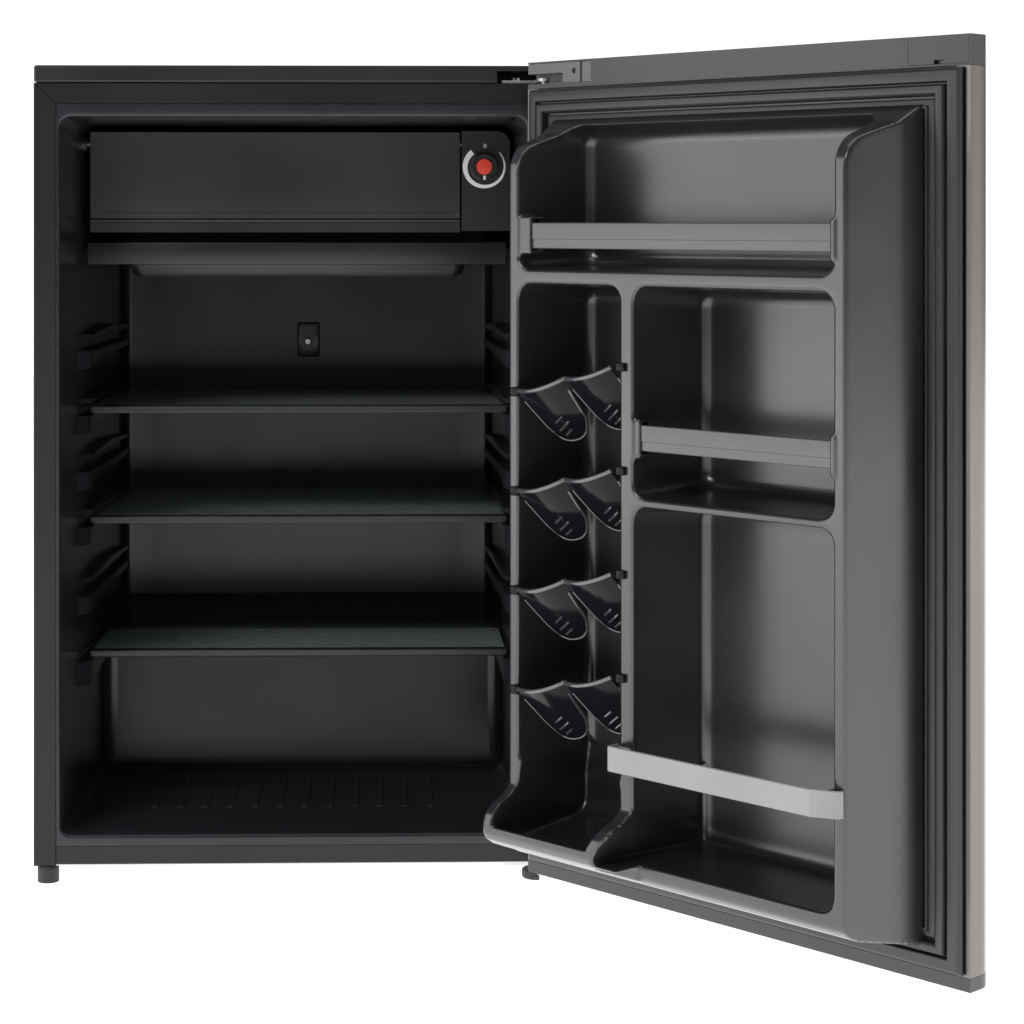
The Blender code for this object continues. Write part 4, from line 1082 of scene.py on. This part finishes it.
NODE_FINISH = {
    "shell": ("outer_shell", "lower_front_rail", "back_panel", "compressor"),
    "cover": ("top_cover",),
    "trim": (
        "freezer_frame", "thermostat_housing", "upper_shelf_trim", "lower_shelf_trim",
        "crisper_shelf_trim",
    ),
    "cap_black": ("door_top_cap", "door_bottom_cap", "hinge_pocket_cover"),
    "rail": ("hinge_insert", "relay_cover", "drain_pan"),
    "zinc": (
        "bottom_panel", "bay_cover", "base_plate", "top_hinge_bracket", "bottom_hinge_bracket",
        "thermostat", "sensor_screw",
    ),
    "copper": (
        "condenser_left", "condenser_right", "filter_drier", "discharge_pipe", "suction_pipe",
    ),
    "foot": (
        "compressor_mount_1", "compressor_mount_2", "compressor_mount_3", "compressor_mount_4",
        "cord_gland", "rear_left_foot", "rear_right_foot", "front_left_foot", "front_right_foot",
    ),
    "glass": ("upper_shelf_glass", "lower_shelf_glass", "crisper_shelf_glass"),
    "aluminium": ("evaporator",),
    "steel": ("door_skin",),
    "foam": ("cabinet_foam", "door_foam"),
    "nylon": ("bottom_pin_nut",),
}
NODE_BEVEL = {
    "top_cover": 1.5,
    "lower_front_rail": 0.5,
    "thermostat_housing": 1.0,
    "freezer_frame": 0.8,
    "door_top_cap": 1.0,
    "door_bottom_cap": 1.0,
    "hinge_pocket_cover": 0.5,
    "hinge_insert": 0.6,
    "top_hinge_bracket": 0.4,
    "drain_pan": 0.8,
    "relay_cover": 1.0,
}


def finish_nodes():
    """Give the frame's own nodes their materials, smooth shading and edge radii."""
    for material, names in NODE_FINISH.items():
        for name in names:
            node = NODES[name]
            node.data.materials.clear()
            node.data.materials.append(MATERIALS[material])
            node.data.shade_smooth()
            node.data.set_sharp_from_angle(angle=math.radians(NODE_SHARP))
    for name, width in NODE_BEVEL.items():
        bevel(NODES[name], width)


# Stage


def make_stage():
    """Floor and world, white to the camera only, and large soft lights round the object."""
    bpy.ops.mesh.primitive_plane_add(size=14.0, location=(0.0, 1.0, -0.0005))
    floor = bpy.context.object
    floor.name = "floor"
    mat, tree, shader = principled("floor_paper", (0.5, 0.5, 0.5), 0.7)
    shader.inputs["Emission Color"].default_value = (1.0, 1.0, 1.0, 1.0)
    shader.inputs["Emission Strength"].default_value = 0.93
    glow = tree.nodes.new("ShaderNodeEmission")
    glow.inputs["Strength"].default_value = 2.0
    camera_ray = tree.nodes.new("ShaderNodeLightPath")
    seen = tree.nodes.new("ShaderNodeMixShader")
    tree.links.new(camera_ray.outputs["Is Camera Ray"], seen.inputs["Fac"])
    tree.links.new(glow.outputs["Emission"], seen.inputs[1])
    tree.links.new(shader.outputs["BSDF"], seen.inputs[2])
    tree.links.new(seen.outputs["Shader"], tree.nodes["Material Output"].inputs["Surface"])
    floor.data.materials.append(mat)

    world = bpy.data.worlds.new("studio")
    bpy.context.scene.world = world
    world.use_nodes = True
    tree = world.node_tree
    dim = tree.nodes["Background"]
    dim.inputs["Color"].default_value = (0.93, 0.95, 1.0, 1.0)
    dim.inputs["Strength"].default_value = 0.18
    white = tree.nodes.new("ShaderNodeBackground")
    white.inputs["Color"].default_value = (1.0, 1.0, 1.0, 1.0)
    white.inputs["Strength"].default_value = 1.1
    ray = tree.nodes.new("ShaderNodeLightPath")
    choose = tree.nodes.new("ShaderNodeMixShader")
    tree.links.new(ray.outputs["Is Camera Ray"], choose.inputs["Fac"])
    tree.links.new(dim.outputs["Background"], choose.inputs[1])
    tree.links.new(white.outputs["Background"], choose.inputs[2])
    tree.links.new(choose.outputs["Shader"], tree.nodes["World Output"].inputs["Surface"])

    add_light("left_softbox", (-2.6, -0.45, 1.0), 28.0, (2.2, 1.9), (0.25, -0.25, 0.5))
    add_light("right_softbox", (3.0, -0.35, 0.95), 13.0, (2.2, 1.9), (0.3, -0.3, 0.5))
    add_light("key_softbox", (-2.0, -2.6, 3.0), 55.0, (1.6, 1.2), (0.0, 0.0, 0.6))
    add_light("top_softbox", (0.2, -0.2, 3.2), 24.0, (2.6, 2.0), (0.1, 0.1, 0.4))
    add_light("back_softbox", (0.8, 3.4, 1.8), 30.0, (2.4, 1.8), (0.0, 0.3, 0.4))

    bpy.context.scene.view_settings.view_transform = "Standard"


def add_light(name, location, power, size, target):
    """A rectangular area light aimed at a point."""
    data = bpy.data.lights.new(name, "AREA")
    data.shape = "RECTANGLE"
    data.size, data.size_y = size
    data.energy = power
    light = bpy.data.objects.new(name, data)
    light.location = location
    aim = Vector(target) - Vector(location)
    light.rotation_euler = aim.to_track_quat("-Z", "Y").to_euler()
    bpy.context.scene.collection.objects.link(light)


CAMERA_AT = Vector((359.3, -2457.3, 671.8))
CAMERA_YAW = 0.0226
CAMERA_LENS = 84.81
CAMERA_SHIFT = (0.0680, -0.2843)


def make_camera():
    """A level camera well in front of the cabinet, turned a little to the right."""
    data = bpy.data.cameras.new("camera")
    data.lens = CAMERA_LENS
    data.sensor_width = 36.0
    data.shift_x, data.shift_y = CAMERA_SHIFT
    data.clip_end = 50.0
    camera = bpy.data.objects.new("camera", data)
    camera.location = CABINET @ CAMERA_AT
    camera.rotation_euler = (math.pi / 2, 0.0, -CAMERA_YAW)
    bpy.context.scene.collection.objects.link(camera)
    bpy.context.scene.camera = camera


def make_pieces():
    """Every piece that scene.py adds to the frame."""
    make_door_liner()
    make_seal()
    make_short_rail("top_rail_moulding", "top_rail", 76.8, 450.2, 645.4, 670.2)
    make_short_rail("middle_rail_moulding", "middle_rail", 77.4, 302.4, 461.5, 485.5)
    make_bottle_rail()
    for number in range(1, RACK_COUNT + 1):
        make_can_rack(number)
    make_cabinet_liner()
    make_flap()
    make_tray()
    make_knob()
    make_front_frame()
    make_insert_screw()
    make_sensor_cover()


finish_nodes()
make_pieces()
make_stage()
make_camera()
